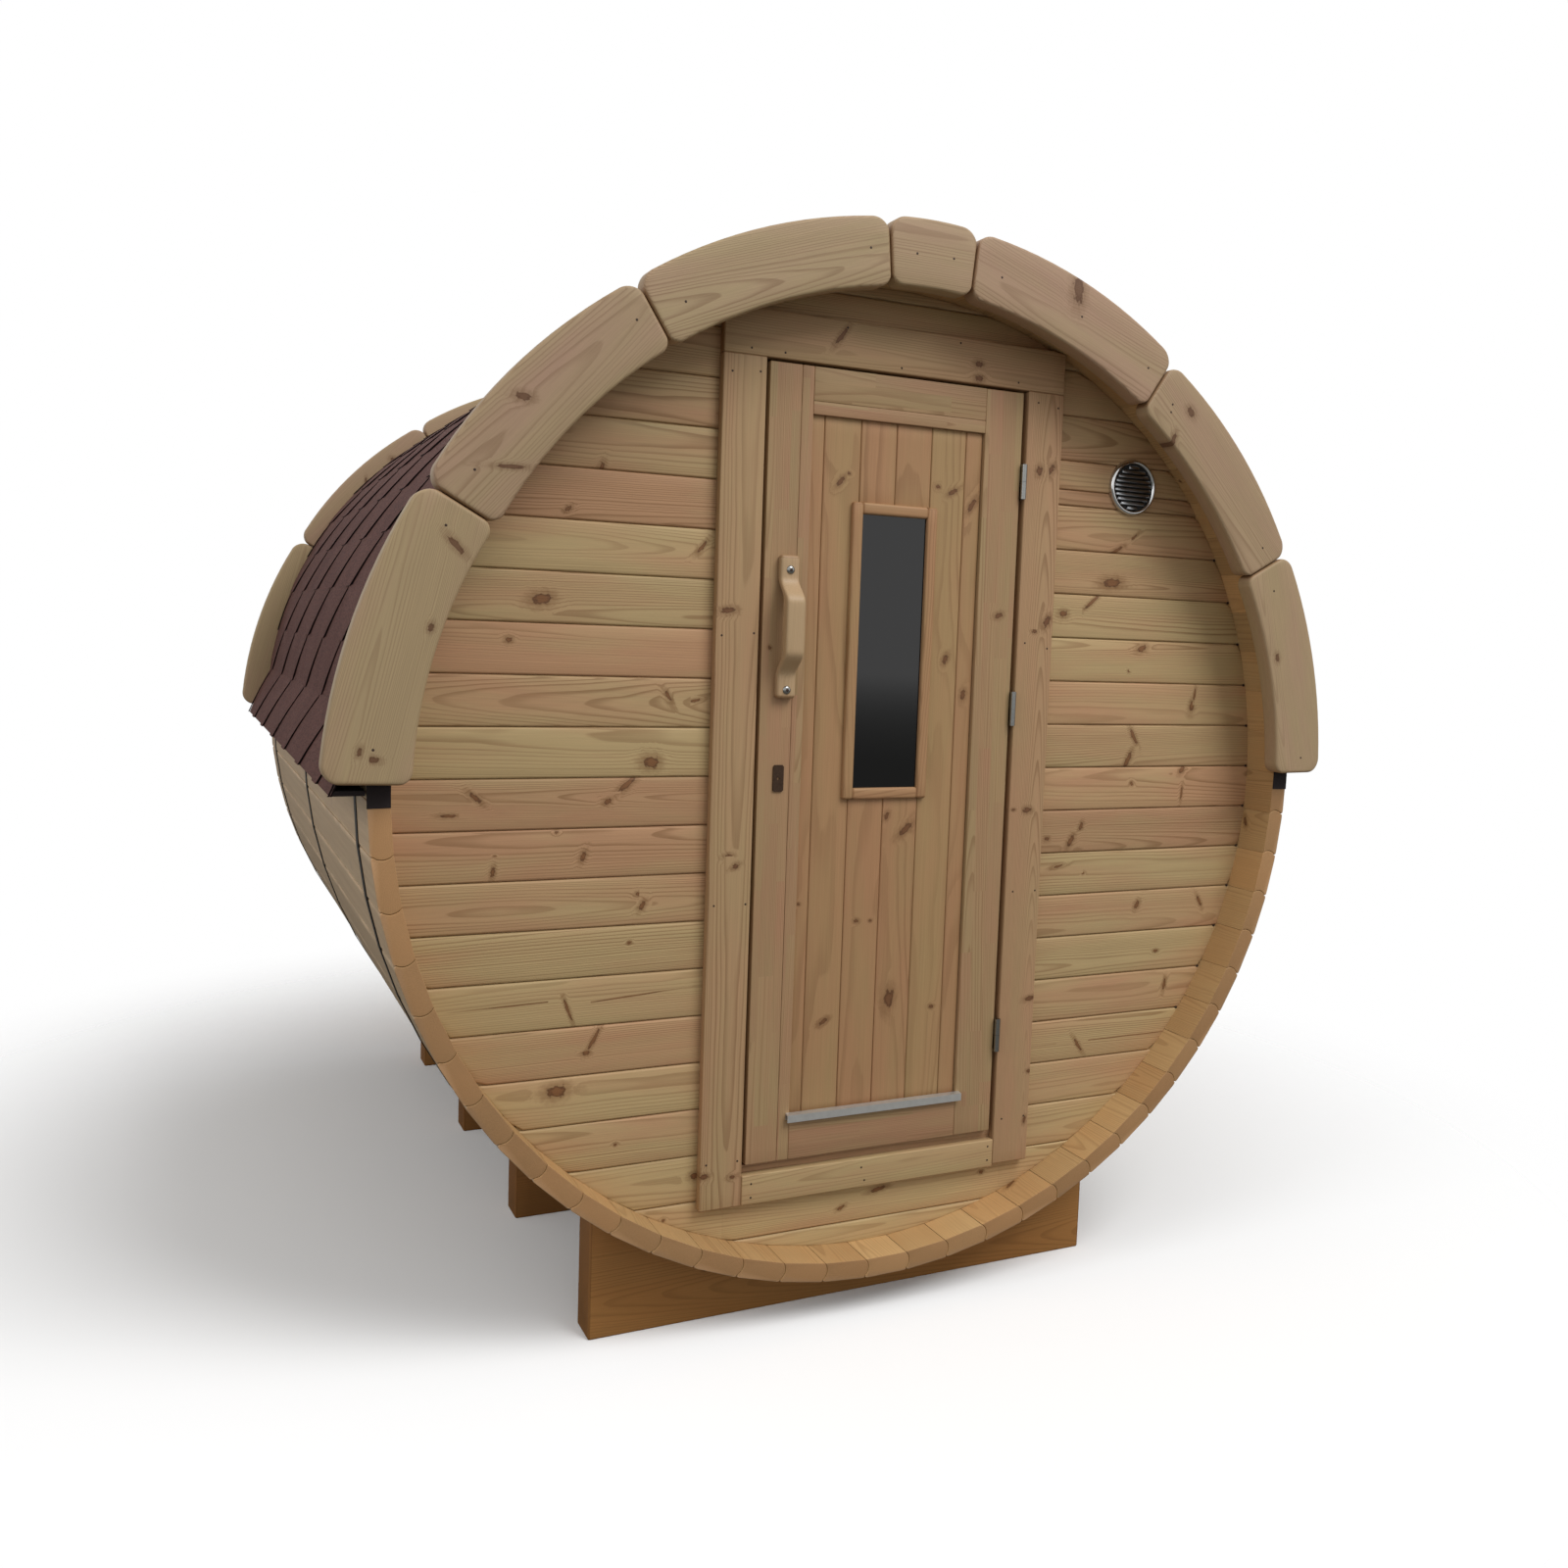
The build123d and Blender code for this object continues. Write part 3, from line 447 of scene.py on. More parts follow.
def wood(name, pale, dark, blush, core, ring=0.0026, contrast=0.38, roughness=0.55, end="#8a6440",
         lamella=None, weathered=None, blotch=0.0):
    """Sawn softwood. Growth rings are a sawtooth of the distance from the pith, bent by slow noise
    and round the knots; fibres are noise drawn out along the grain; heartwood comes in long soft
    patches; knots are brown ovals with a dark rim; end grain is darker."""
    material, tree = new_material(name)
    log = add(tree, "ShaderNodeAttribute", attribute_name="log", output=1)
    tone = add(tree, "ShaderNodeAttribute", attribute_name="tone", output=1)
    knot = add(tree, "ShaderNodeAttribute", attribute_name="knot", output=1)
    cap = add(tree, "ShaderNodeAttribute", attribute_name="end", output=2)
    tone_parts = tree.nodes.new("ShaderNodeSeparateXYZ")
    tree.links.new(tone, tone_parts.inputs[0])
    shade = tone_parts.outputs[0]
    blush_share = tone_parts.outputs[1]
    grey_share = tone_parts.outputs[2]
    if lamella:
        # Finger-jointed lamellae: each cell of the log frame is a strip of other wood
        cell = add(tree, "ShaderNodeVectorMath", {0: log, 1: lamella}, operation="DIVIDE")
        row = add(tree, "ShaderNodeVectorMath", {0: cell}, operation="FLOOR")
        row_only = add(tree, "ShaderNodeVectorMath", {0: row, 1: (0.0, 1.0, 1.0)}, operation="MULTIPLY")
        row_noise = add(tree, "ShaderNodeTexWhiteNoise", {"Vector": row_only}, noise_dimensions="3D")
        slid = add(tree, "ShaderNodeVectorMath", {0: row_noise, 1: (7.3, 0.0, 0.0), 2: cell},
                   operation="MULTIPLY_ADD")
        block = add(tree, "ShaderNodeVectorMath", {0: slid}, operation="FLOOR")
        strip = add(tree, "ShaderNodeTexWhiteNoise", {"Vector": block}, output=1, noise_dimensions="3D")
        strip_tone = add(tree, "ShaderNodeTexWhiteNoise", {"Vector": block}, noise_dimensions="3D")
        log = add(tree, "ShaderNodeVectorMath", {0: strip, 1: (3.0, 0.09, 0.06), 2: log},
                  operation="MULTIPLY_ADD")
        shade = add(tree, "ShaderNodeMath", {0: strip_tone, 1: 1.1, 2: -0.55}, operation="MULTIPLY_ADD")
        strip_share = add(tree, "ShaderNodeMath", {0: strip, 1: 0.7}, operation="MULTIPLY")
        blush_share = add(tree, "ShaderNodeMath", {0: blush_share, 1: 0.4, 2: strip_share},
                          operation="MULTIPLY_ADD")
    # Distance from the knot's middle in knot radii
    knot_flat = add(tree, "ShaderNodeVectorMath", {0: knot, 1: (0.85, 1.0, 0.0)}, operation="MULTIPLY")
    knot_way = add(tree, "ShaderNodeVectorMath", {0: knot_flat}, output=1, operation="LENGTH")
    knot_wobble = add(tree, "ShaderNodeTexNoise", {"Vector": knot, "Scale": 1.5, "Detail": 3.0})
    knot_reach = add(tree, "ShaderNodeMath", {0: knot_wobble, 1: 1.7, 2: knot_way}, operation="MULTIPLY_ADD")
    knot_reach = add(tree, "ShaderNodeMath", {0: knot_reach, 1: 0.78}, operation="SUBTRACT")
    bulge = add(tree, "ShaderNodeMapRange", {0: knot_reach, 1: 0.6, 2: 4.2, 3: 1.0, 4: 0.0},
                interpolation_type="SMOOTHERSTEP")
    # The fibres flow round a knot: the place across the grain is drawn in towards its middle
    push = add(tree, "ShaderNodeVectorMath", {0: knot, 1: (0.0, -0.0030, 0.0)}, operation="MULTIPLY")
    push_scale = add(tree, "ShaderNodeVectorMath", {0: push, "Scale": bulge}, operation="SCALE")
    flow = add(tree, "ShaderNodeVectorMath", {0: log, 1: push_scale}, operation="ADD")
    # Growth rings, ring metres apart: pale early wood grows slowly into dark late wood, then stops.
    # They bend every 140 mm across and 830 mm along the grain, and waver every 14 mm and 83 mm
    stretched = add(tree, "ShaderNodeVectorMath", {0: flow, 1: (1.2, 7.0, 7.0)}, operation="MULTIPLY")
    slow = add(tree, "ShaderNodeTexNoise",
               {"Vector": stretched, "Scale": 1.0, "Detail": 2.0, "Roughness": 0.4})
    finer = add(tree, "ShaderNodeVectorMath", {0: flow, 1: (12.0, 70.0, 70.0)}, operation="MULTIPLY")
    wobble = add(tree, "ShaderNodeTexNoise", {"Vector": finer, "Scale": 1.0, "Detail": 1.0})
    across = add(tree, "ShaderNodeVectorMath", {0: flow, 1: (0.0, 1.0, 1.0)}, operation="MULTIPLY")
    radius = add(tree, "ShaderNodeVectorMath", {0: across}, output=1, operation="LENGTH")
    radius = add(tree, "ShaderNodeMath", {0: slow, 1: 0.018, 2: radius}, operation="MULTIPLY_ADD")
    radius = add(tree, "ShaderNodeMath", {0: wobble, 1: 0.0007, 2: radius}, operation="MULTIPLY_ADD")
    radius = add(tree, "ShaderNodeMath", {0: bulge, 1: 0.0016, 2: radius}, operation="MULTIPLY_ADD")
    width_noise = add(tree, "ShaderNodeTexNoise", {"W": radius, "Scale": 90.0, "Detail": 1.0},
                      noise_dimensions="1D")
    phase = add(tree, "ShaderNodeMath", {0: radius, 1: 1 / ring}, operation="MULTIPLY")
    phase = add(tree, "ShaderNodeMath", {0: width_noise, 1: 2.0, 2: phase}, operation="MULTIPLY_ADD")
    saw = add(tree, "ShaderNodeMath", {0: phase}, operation="FRACT")
    rise = add(tree, "ShaderNodeMapRange", {0: saw, 1: 0.50, 2: 0.88}, **soft_step)
    fall = add(tree, "ShaderNodeMapRange", {0: saw, 1: 0.94, 2: 1.0, 3: 1.0, 4: 0.0}, **soft_step)
    late = add(tree, "ShaderNodeMath", {0: rise, 1: fall}, operation="MULTIPLY")
    # Fibres, too fine to show at their real 0.05 mm, are drawn 2 mm wide with finer ones in them
    drawn = add(tree, "ShaderNodeVectorMath", {0: flow, 1: (6.0, 480.0, 480.0)}, operation="MULTIPLY")
    fibre = add(tree, "ShaderNodeTexNoise", {"Vector": drawn, "Scale": 1.0, "Detail": 3.0, "Roughness": 0.6})
    # Heartwood and soft clouds come in patches about 60 mm wide and 310 mm long
    cloud_place = add(tree, "ShaderNodeVectorMath", {0: flow, 1: (3.2, 17.0, 17.0)}, operation="MULTIPLY")
    cloud = add(tree, "ShaderNodeTexNoise", {"Vector": cloud_place, "Scale": 1.0, "Detail": 3.0})
    patchy = add(tree, "ShaderNodeMath", {0: cloud, 1: 2.2, 2: -1.1}, operation="MULTIPLY_ADD")
    blushed = add(tree, "ShaderNodeMath", {0: patchy, 1: blush_share}, operation="ADD", use_clamp=True)
    ground = add(tree, "ShaderNodeMix", {"Factor": blushed, 6: linear(pale), 7: linear(blush)}, **colour_mix)
    faint = add(tree, "ShaderNodeMapRange", {0: slow, 1: 0.35, 2: 0.65, 3: 0.5 * contrast, 4: 1.4 * contrast})
    late_share = add(tree, "ShaderNodeMath", {0: late, 1: faint}, operation="MULTIPLY")
    ringed = add(tree, "ShaderNodeMix", {"Factor": late_share, 6: ground, 7: linear(dark)}, **colour_mix)
    # Knots: a halo of redder wood, a dark rim and a brown core
    halo = add(tree, "ShaderNodeMapRange", {0: knot_reach, 1: 0.9, 2: 2.6, 3: 0.55, 4: 0.0}, **soft_step)
    haloed = add(tree, "ShaderNodeMix", {"Factor": halo, 6: ringed, 7: linear(dark)}, **colour_mix)
    rim = add(tree, "ShaderNodeMapRange", {0: knot_reach, 1: 0.45, 2: 0.9}, **soft_step)
    core_colour = add(tree, "ShaderNodeMix",
                      {"Factor": rim, 6: linear(core), 7: linear("#563620")}, **colour_mix)
    inside = add(tree, "ShaderNodeMapRange", {0: knot_reach, 1: 0.80, 2: 1.15, 3: 0.92, 4: 0.0}, **soft_step)
    knotted = add(tree, "ShaderNodeMix", {"Factor": inside, 6: haloed, 7: core_colour}, **colour_mix)
    if weathered:
        # Greyed streaks, about 11 mm wide and half a metre long
        streak = add(tree, "ShaderNodeVectorMath", {0: log, 1: (2.0, 90.0, 90.0)}, operation="MULTIPLY")
        streaks = add(tree, "ShaderNodeTexNoise", {"Vector": streak, "Scale": 1.0, "Detail": 4.0})
        faded = add(tree, "ShaderNodeMix",
                    {"Factor": streaks, 6: linear(weathered), 7: linear("#c0ab8e")}, **colour_mix)
        grey = add(tree, "ShaderNodeMath", {0: grey_share, 1: 0.85}, operation="MULTIPLY", use_clamp=True)
        knotted = add(tree, "ShaderNodeMix", {"Factor": grey, 6: knotted, 7: faded}, **colour_mix)
    end_share = add(tree, "ShaderNodeMath", {0: cap, 1: 0.72}, operation="MULTIPLY")
    ended = add(tree, "ShaderNodeMix", {"Factor": end_share, 6: knotted, 7: linear(end)}, **colour_mix)
    # Brightness: the board's own shade, its fibres and slow clouds
    value = add(tree, "ShaderNodeMath", {0: shade, 1: 0.07, 2: 1.0}, operation="MULTIPLY_ADD")
    streaked = add(tree, "ShaderNodeMath", {0: fibre, 1: 0.32, 2: -0.16}, operation="MULTIPLY_ADD")
    value = add(tree, "ShaderNodeMath", {0: value, 1: streaked}, operation="ADD")
    clouded = add(tree, "ShaderNodeMath", {0: cloud, 1: 0.14 + blotch, 2: -0.07 - blotch / 2},
                  operation="MULTIPLY_ADD")
    value = add(tree, "ShaderNodeMath", {0: value, 1: clouded}, operation="ADD")
    colour = add(tree, "ShaderNodeHueSaturation", {"Value": value, "Color": ended})
    height = add(tree, "ShaderNodeMath", {0: late, 1: 0.5, 2: fibre}, operation="MULTIPLY_ADD")
    bump = add(tree, "ShaderNodeBump", {"Height": height, "Strength": 0.3, "Distance": 0.0004})
    shader = add(tree, "ShaderNodeBsdfPrincipled", {"Base Color": colour, "Roughness": roughness,
                                                     "Specular IOR Level": 0.3, "Normal": bump})
    add(tree, "ShaderNodeOutputMaterial", {0: shader})
    return material


# Planed spruce and pine of the end walls: khaki sapwood, pink-brown heartwood, brown knots
wall_pine = wood("planed_wall_pine", "#b9a074", "#7d5a36", "#b58c69", "#7b5232", contrast=0.42)
# Stave pine: the same timber, its outer faces gone grey-beige outdoors, its sawn ends brown
stave_pine = wood("stave_pine", "#bf9c6c", "#835d36", "#ba9262", "#704a2a", contrast=0.3, end="#a17852",
                  weathered="#a38b72")
# Oiled fascia boards: sanded, khaki beige, with faint rings
fascia_pine = wood("sanded_fascia_pine", "#a8926f", "#7d6044", "#a78870", "#664730", contrast=0.38)
# Casing and frame boards: planed pine, pinkish tan
casing_pine = wood("planed_casing_pine", "#b0946c", "#7c5a3a", "#b08a68", "#704a30", contrast=0.38)
# Door panel boards and window frame: planed pine, a shade darker than the casing, with faint rings
door_pine = wood("door_panel_pine", "#a98a60", "#7c5838", "#aa805c", "#704a2e", contrast=0.32)
# Door leaf: finger-jointed lamellae 31 mm wide and about 300 mm long
laminated_pine = wood("laminated_door_pine", "#a98e67", "#7e5b3b", "#a98162", "#704a30", contrast=0.34,
                      lamella=(0.30, 0.031, 0.5))
# Pull handle: fine-grained birch, paler and smoother than the door
handle_birch = wood("planed_birch", "#b79c78", "#96754f", "#b39473", "#8a6644", contrast=0.2, roughness=0.42)
# Cradle planks: pressure-treated pine with brown stain soaked in
stained_pine = wood("brown_stained_pine", "#b27f48", "#6a4521", "#9c6a39", "#38200f", contrast=0.2,
                    roughness=0.6, end="#6b441f", blotch=0.6)


# Wall boards: bevels of the front and back edges, and the tongue that closes each joint
board_edges = (0.0048, 0.0038, 0.0010, 0.0010)
joint_gap = 0.0012
tongue_reach = 0.0060
least_height = 0.004
least_length = 0.01
end_easing = 0.0001
station_step = 0.030
board_rows = 26
# The boards over and under the door run through from side to side: each has one shade and one log.
# Those under it are drawn paler and with little pink heartwood: painted light, as the lower wall is lit
# brighter and warmer
front_out = -wall_front
front_in = -wall_back
through_boards = {}
for number in range(-5, board_rows):
    middle = wall_groove_rise - (number + 0.5) * wall_board_pitch
    if opening_bottom < middle - wall_board_pitch / 2 and middle + wall_board_pitch / 2 < opening_top:
        continue
    through_boards[number] = (
        dice.normal(0.0, 0.25) + (1.1 if middle < 0 else 0.0),
        0.15 if middle < 0 else 0.5,
        log_place(np.array((0.0, middle, (front_in + front_out) / 2))),
    )


def boards_of_wall(x_from, x_to, rise_from, rise_to, back, front, groove_rise, knots=None, blushes=(),
                   extra_joint=None):
    """Level boards that fill the part of a round wall between four sides, and the tongues that close
    their joints. The ends of each board follow the circle: where x is near the rim, the section is
    cut off at the root of R^2 - x^2."""
    boards = []
    first = int(np.floor((groove_rise - rise_to) / wall_board_pitch)) - 1
    spans = []
    for number in range(first, first + board_rows):
        top = groove_rise - number * wall_board_pitch
        bottom = top - wall_board_pitch
        if extra_joint and bottom < extra_joint < top:
            spans.append((number, top, extra_joint))
            spans.append((number, extra_joint, bottom))
        else:
            spans.append((number, top, bottom))
    for number, top, bottom in spans:
        blush = blushes[number] if 0 <= number < len(blushes) else None
        for kind in ("board", "tongue"):
            if kind == "board":
                high = min(top - joint_gap / 2, rise_to)
                low = max(bottom + joint_gap / 2, rise_from)
                face = front
                edges = board_edges
            else:
                high = min(bottom + tongue_reach, rise_to)
                low = max(bottom - tongue_reach, rise_from)
                face = front - tongue_reach
                edges = 0.0005
            if high - low < least_height:
                continue
            nearest = 0.0 if low < 0 < high else min(abs(low), abs(high))
            if nearest + least_height >= wall_reach:
                continue
            reach = np.sqrt(wall_reach**2 - (nearest + least_height / 2) ** 2)
            start = max(x_from, -reach)
            end = min(x_to, reach)
            if end - start < least_length:
                continue
            warp = {(True, True): "both", (True, False): "start", (False, True): "end"}.get(
                (start > x_from, end < x_to)
            )
            stations, inset = eased_stations(start, end, end_easing, station_step, warp)
            rim = np.sqrt(np.maximum(wall_reach**2 - stations**2, 0.0))
            own = []
            if kind == "board":
                own = [knot for knot in knots or () if start < knot[0] < end and low < knot[1] < high]
                # Few and small ones beside given knots, more and larger ones on other boards
                per_metre, largest = (0.3, 0.005) if knots else (1.1, 0.010)
                own += random_knots(start, end, low, high, per_metre, largest)
            # The lower boards are drawn the palest: painted light, as the lower wall is lit brighter
            shade = dice.normal(0.0, 0.4) + np.interp(-low, (0.3, 0.8), (0.0, 1.2))
            sawn = None
            if knots is not None and number in through_boards:
                shade, blush, sawn = through_boards[number]
            boards.append(straight(
                stations, inset, np.maximum(low, -rim), np.minimum(high, rim),
                back + tongue_reach * (kind == "tongue"), face, edges, x_axis, z_axis, -y_axis,
                face_points=3 * (kind == "board"), knots=own, blush=blush, shade=shade, sawn=sawn,
            ))
    return boards


for name, sides, lift, knots, blushes, extra_joint in (
    ("front_wall_left", (-1.0, opening_left, -1.0, 1.0), 0.0, left_wall_knots, left_wall_blush, None),
    ("front_wall_right", (opening_right, 1.0, -1.0, 1.0), right_groove_lift, right_wall_knots,
     right_wall_blush, ripped_board_rise),
    ("front_wall_over_door", (opening_left, opening_right, opening_top, 1.0), 0.0, (), (), None),
    ("front_wall_under_door", (opening_left, opening_right, -1.0, opening_bottom), 0.0,
     ((-0.051, -0.884, 0.004, 2.0, 20), (0.033, -0.857, 0.005, 3.0, 10), (0.285, -0.856, 0.004, 1.0, 0)),
     (0.1,) * 22, None),
):
    boards = boards_of_wall(*sides, front_in, front_out, wall_groove_rise + lift, knots, blushes, extra_joint)
    add_timbers(f"boards_{name}", boards, wall_pine, "barrel", [name])
back_low, back_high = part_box("back_wall")
add_timbers(
    "boards_back_wall",
    boards_of_wall(-1.0, 1.0, -1.0, 1.0, -back_high[1], -back_low[1], wall_groove_rise),
    wall_pine, "barrel", ["back_wall"],
)


# Staves: bead and cove are circular arcs, the outer corners are cut off into notches
def stave_section():
    """One stave's loop as rows of radius, angle share of the half stave, and shift along the rim."""
    inner = barrel_radius - stave_thickness
    joint_top = barrel_radius - stave_notch
    arc_points = 8
    share = np.linspace(0.0, 1.0, arc_points)
    chord = (joint_top - inner) / 2
    bow_radius = (chord**2 + stave_bead**2) / (2 * stave_bead)
    bow = np.sqrt(bow_radius**2 - (chord * (2 * share - 1)) ** 2) - (bow_radius - stave_bead)
    radius = inner + share * (joint_top - inner)
    slack = 0.0006
    bead = np.stack((radius, np.ones(arc_points), bow - slack), axis=1)
    cove = np.stack((radius, -np.ones(arc_points), bow + slack), axis=1)[::-1]
    shoulder = stave_notch * (1 - np.cos(np.radians(50.0)))
    top = np.array((
        (barrel_radius - shoulder, 1.0, -0.3 * stave_notch),
        (barrel_radius, 1.0, -stave_notch),
        (barrel_radius, 0.76, 0.0),
        (barrel_radius, -0.76, 0.0),
        (barrel_radius, -1.0, stave_notch),
        (barrel_radius - shoulder, -1.0, 0.3 * stave_notch),
    ))
    return np.concatenate((bead, top, cove))


def stave(number):
    """The stave's section carried along the barrel, shrunk a little towards its middle at the ends.
    Each stave is up to 0.7 mm higher or lower than the next, as sawn timber is."""
    half = np.pi / stave_count
    middle = np.radians(stave_start) + half * (2 * number + 1)
    radius, side, shift = stave_section().T
    lowering = dice.uniform(-0.0014, 0.0) / 2
    outer_points = radius > barrel_radius - 0.0001
    shoulders = (radius > barrel_radius - stave_notch / 2) & ~outer_points
    angle = middle + side * half
    reach = radius + np.where(outer_points, lowering, 0.0)
    x = reach * np.cos(angle) - shift * np.sin(angle)
    z = reach * np.sin(angle) + shift * np.cos(angle)
    loop = np.stack((x, z), axis=1)
    centre = loop.mean(axis=0)
    stations, inset = eased_stations(barrel_front, barrel_back, 0.0008, 0.05)
    shrink = 1 - inset / (stave_thickness / 2)
    section = centre + (loop - centre) * shrink[:, None, None]
    points = np.empty((len(stations), len(loop), 3))
    points[..., 0] = section[..., 0]
    points[..., 1] = stations[:, None]
    points[..., 2] = section[..., 1] + axis_z
    tangent = np.array((-np.sin(middle), 0.0, np.cos(middle)))
    radial = np.array((np.cos(middle), 0.0, np.sin(middle)))
    knots = random_knots(barrel_front, barrel_back, -0.04, 0.04, per_metre=1.2, largest=0.009)
    grain_radius = 0.98
    board = timber(points, y_axis, tangent, origin=axis_point + radial * grain_radius, knots=knots,
                   shade=dice.normal(0.0, 1.1))
    # The outer face is weathered, and its rounded long edges are drawn paler, in broken streaks
    board["tone"][np.tile(outer_points | shoulders, len(stations)), 2] = 1.0
    corners = shoulders | (outer_points & (np.abs(side) > 0.9))
    paler_edges = dice.uniform(0.0, 7.0, len(stations))[:, None] * corners
    board["tone"][:, 0] += paler_edges.ravel()
    return board


section_count = 6
per_section = stave_count // section_count
for section in range(section_count):
    numbers = range(section * per_section, (section + 1) * per_section)
    add_timbers(f"staves_{section + 1}", [stave(n) for n in numbers], stave_pine, "barrel",
                [f"barrel_staves_{section + 1}"])


# Fascia: arched boards
def fascia_board(start, end, back, front, outer_shift, inner_shift, shade, blush, knots=()):
    """One arched board: the section runs along the arc; its two radii are parabolas of the angle
    through the board's measured places; towards both ends its radial sides follow the rounded
    corners, R - root(R^2 - (R - e)^2) at the distance e from the end."""
    mean = (fascia_inner + fascia_outer) / 2
    low_end = np.radians(start) * mean + fascia_gap / 2
    high_end = np.radians(end) * mean - fascia_gap / 2
    outer_corner = 0.032
    inner_corner = 0.024
    edge = 0.006
    turn = np.linspace(0.0, np.pi / 2, 12)
    bunch = outer_corner * (1 - np.cos(turn))
    middle = np.linspace(low_end + outer_corner, high_end - outer_corner, 14)[1:-1]
    stations = np.concatenate((low_end + bunch, middle, (high_end - bunch)[::-1]))
    way = np.minimum(stations - low_end, high_end - stations)
    place = (stations - low_end) / (high_end - low_end)

    def through(shifts):
        return np.polyval(np.polyfit((0.0, 0.5, 1.0), np.array(shifts) / 1000, 2), place)

    def cut(radius):
        return radius - np.sqrt(np.maximum(radius**2 - np.maximum(radius - way, 0.0) ** 2, 0.0))

    inset = cut(edge) * 0.999
    low = fascia_inner + through(inner_shift) + cut(inner_corner) - inset
    high = fascia_outer + through(outer_shift) - cut(outer_corner) + inset
    section = rounded_section(low, high, back, front, edge, inset, face_points=3)
    angle = (stations / mean)[:, None]
    points = np.stack((
        section[..., 0] * np.cos(angle),
        -section[..., 1],
        axis_z + section[..., 0] * np.sin(angle),
    ), axis=-1)
    middle_angle = np.radians((start + end) / 2)
    along = np.array((-np.sin(middle_angle), 0.0, np.cos(middle_angle)))
    across = np.array((np.cos(middle_angle), 0.0, np.sin(middle_angle)))
    own = []
    for x, rise, radius, stretch, slant in knots:
        if start < np.degrees(np.arctan2(rise, x)) < end:
            spot = np.array((x, 0.0, rise))
            own.append((spot @ along, spot @ across, radius, stretch, slant))
    if not len(knots):
        half = (high_end - low_end) / 2
        own = random_knots(-half, half, 0.94, 1.03, per_metre=1.5, largest=0.009)
    return timber(points, along, across, knots=own, shade=shade, blush=blush)


for name, knots, outer_shifts, inner_shifts in (
    ("front_fascia", fascia_knots, fascia_outer_shifts, fascia_inner_shifts),
    ("back_fascia", (), (fascia_outer_shifts[-1][::-1],) + fascia_outer_shifts[1:],
     (fascia_inner_shifts[-1][::-1],) + fascia_inner_shifts[1:]),
):
    low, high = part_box(name)
    boards = []
    for number, (start, end) in enumerate(zip(fascia_joint_angles[:-1], fascia_joint_angles[1:])):
        boards.append(fascia_board(
            start, end, -high[1], -low[1] - nail_proud, outer_shifts[number], inner_shifts[number],
            fascia_shade[number], fascia_blush[number], knots,
        ))
    add_timbers(f"boards_{name}", boards, fascia_pine, "barrel", [name])


# Straight boards that fill the box of a CAD node
def board_in_box(low, high, direction, edges, cut_to_barrel=False, knots=(), step=0.03, face_points=0,
                 **wood_facts):
    """A board between two corners, lengthwise along "x", "y" or "z", its face to the front or top."""
    low = np.array(low) - axis_point
    high = np.array(high) - axis_point
    along, across, out, length, width, depth = {
        "z": (z_axis, x_axis, -y_axis, 2, 0, 1),
        "x": (x_axis, z_axis, -y_axis, 0, 2, 1),
        "y": (y_axis, x_axis, z_axis, 1, 0, 2),
    }[direction]
    end_edge = float(np.min(edges))
    stations, inset = eased_stations(low[length], high[length], end_edge, step)
    back, front = (low[depth], high[depth]) if direction == "y" else (-high[depth], -low[depth])
    side_low, side_high = low[width], high[width]
    if cut_to_barrel:
        rim = np.sqrt(np.maximum((wall_reach - casing_gap) ** 2 - stations**2, 0.0))
        side_low = np.maximum(side_low, -rim)
        side_high = np.minimum(side_high, rim)
    return straight(stations, inset, side_low, side_high, back, front, edges, along, across, out,
                    knots=knots, face_points=face_points, **wood_facts)


for name, direction, edges, blush in (
    ("casing_left", "z", 0.0025, 0.45),
    ("casing_right", "z", 0.0025, 0.75),
    ("casing_top", "x", 0.0025, 0.55),
    ("sill_board", "x", 0.0025, 0.25),
    ("head_jamb", "x", 0.001, 0.5),
    ("threshold", "x", 0.0015, 1.0),
):
    low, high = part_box(name)
    board = board_in_box(low, high, direction, edges, cut_to_barrel=name.startswith("casing"), blush=blush,
                         knots=front_knots(casing_knots, direction), face_points=2, shade=0.0)
    material = wall_pine if name == "sill_board" else casing_pine
    add_timbers(f"board_{name}", [board], material, "barrel", [name])

# Door leaf: the stile and rail beside the panel carry a bead, a strip set off by a fine groove
bead_width = 0.025
stile_groove = 0.0003
rail_groove = 0.0001
panel_low, panel_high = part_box("door_panel")
window_low, window_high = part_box("window_frame")
bead_groove_x = panel_low[0] - bead_width
bead_groove_z = panel_high[2] + bead_width
for name, direction, split in (
    ("door_stile_left", "z", bead_groove_x),
    ("door_stile_right", "z", None),
    ("door_rail_top", "x", bead_groove_z),
    ("door_rail_bottom", "x", None),
):
    low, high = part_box(name)
    parts = [(low, high)]
    if split and direction == "z":
        before, after = split - stile_groove, split + stile_groove
        parts = [(low, (before, high[1], high[2])), ((after, low[1], low[2]), high)]
    if split and direction == "x":
        before, after = split - rail_groove, split + rail_groove
        parts = [(low, (high[0], high[1], before)), ((low[0], low[1], after), high)]
    boards = []
    for part_low, part_high in parts:
        start, end = part_low[2] - axis_z, part_high[2] - axis_z
        knots = random_knots(start, end, part_low[0], part_high[0], per_metre=0.8, largest=0.006)
        edge = 0.0014 if split else 0.0018
        boards.append(board_in_box(part_low, part_high, direction, edge,
                                   knots=knots if direction == "z" else (), face_points=1))
    add_timbers(f"board_{name}", boards, laminated_pine, "door", [name])

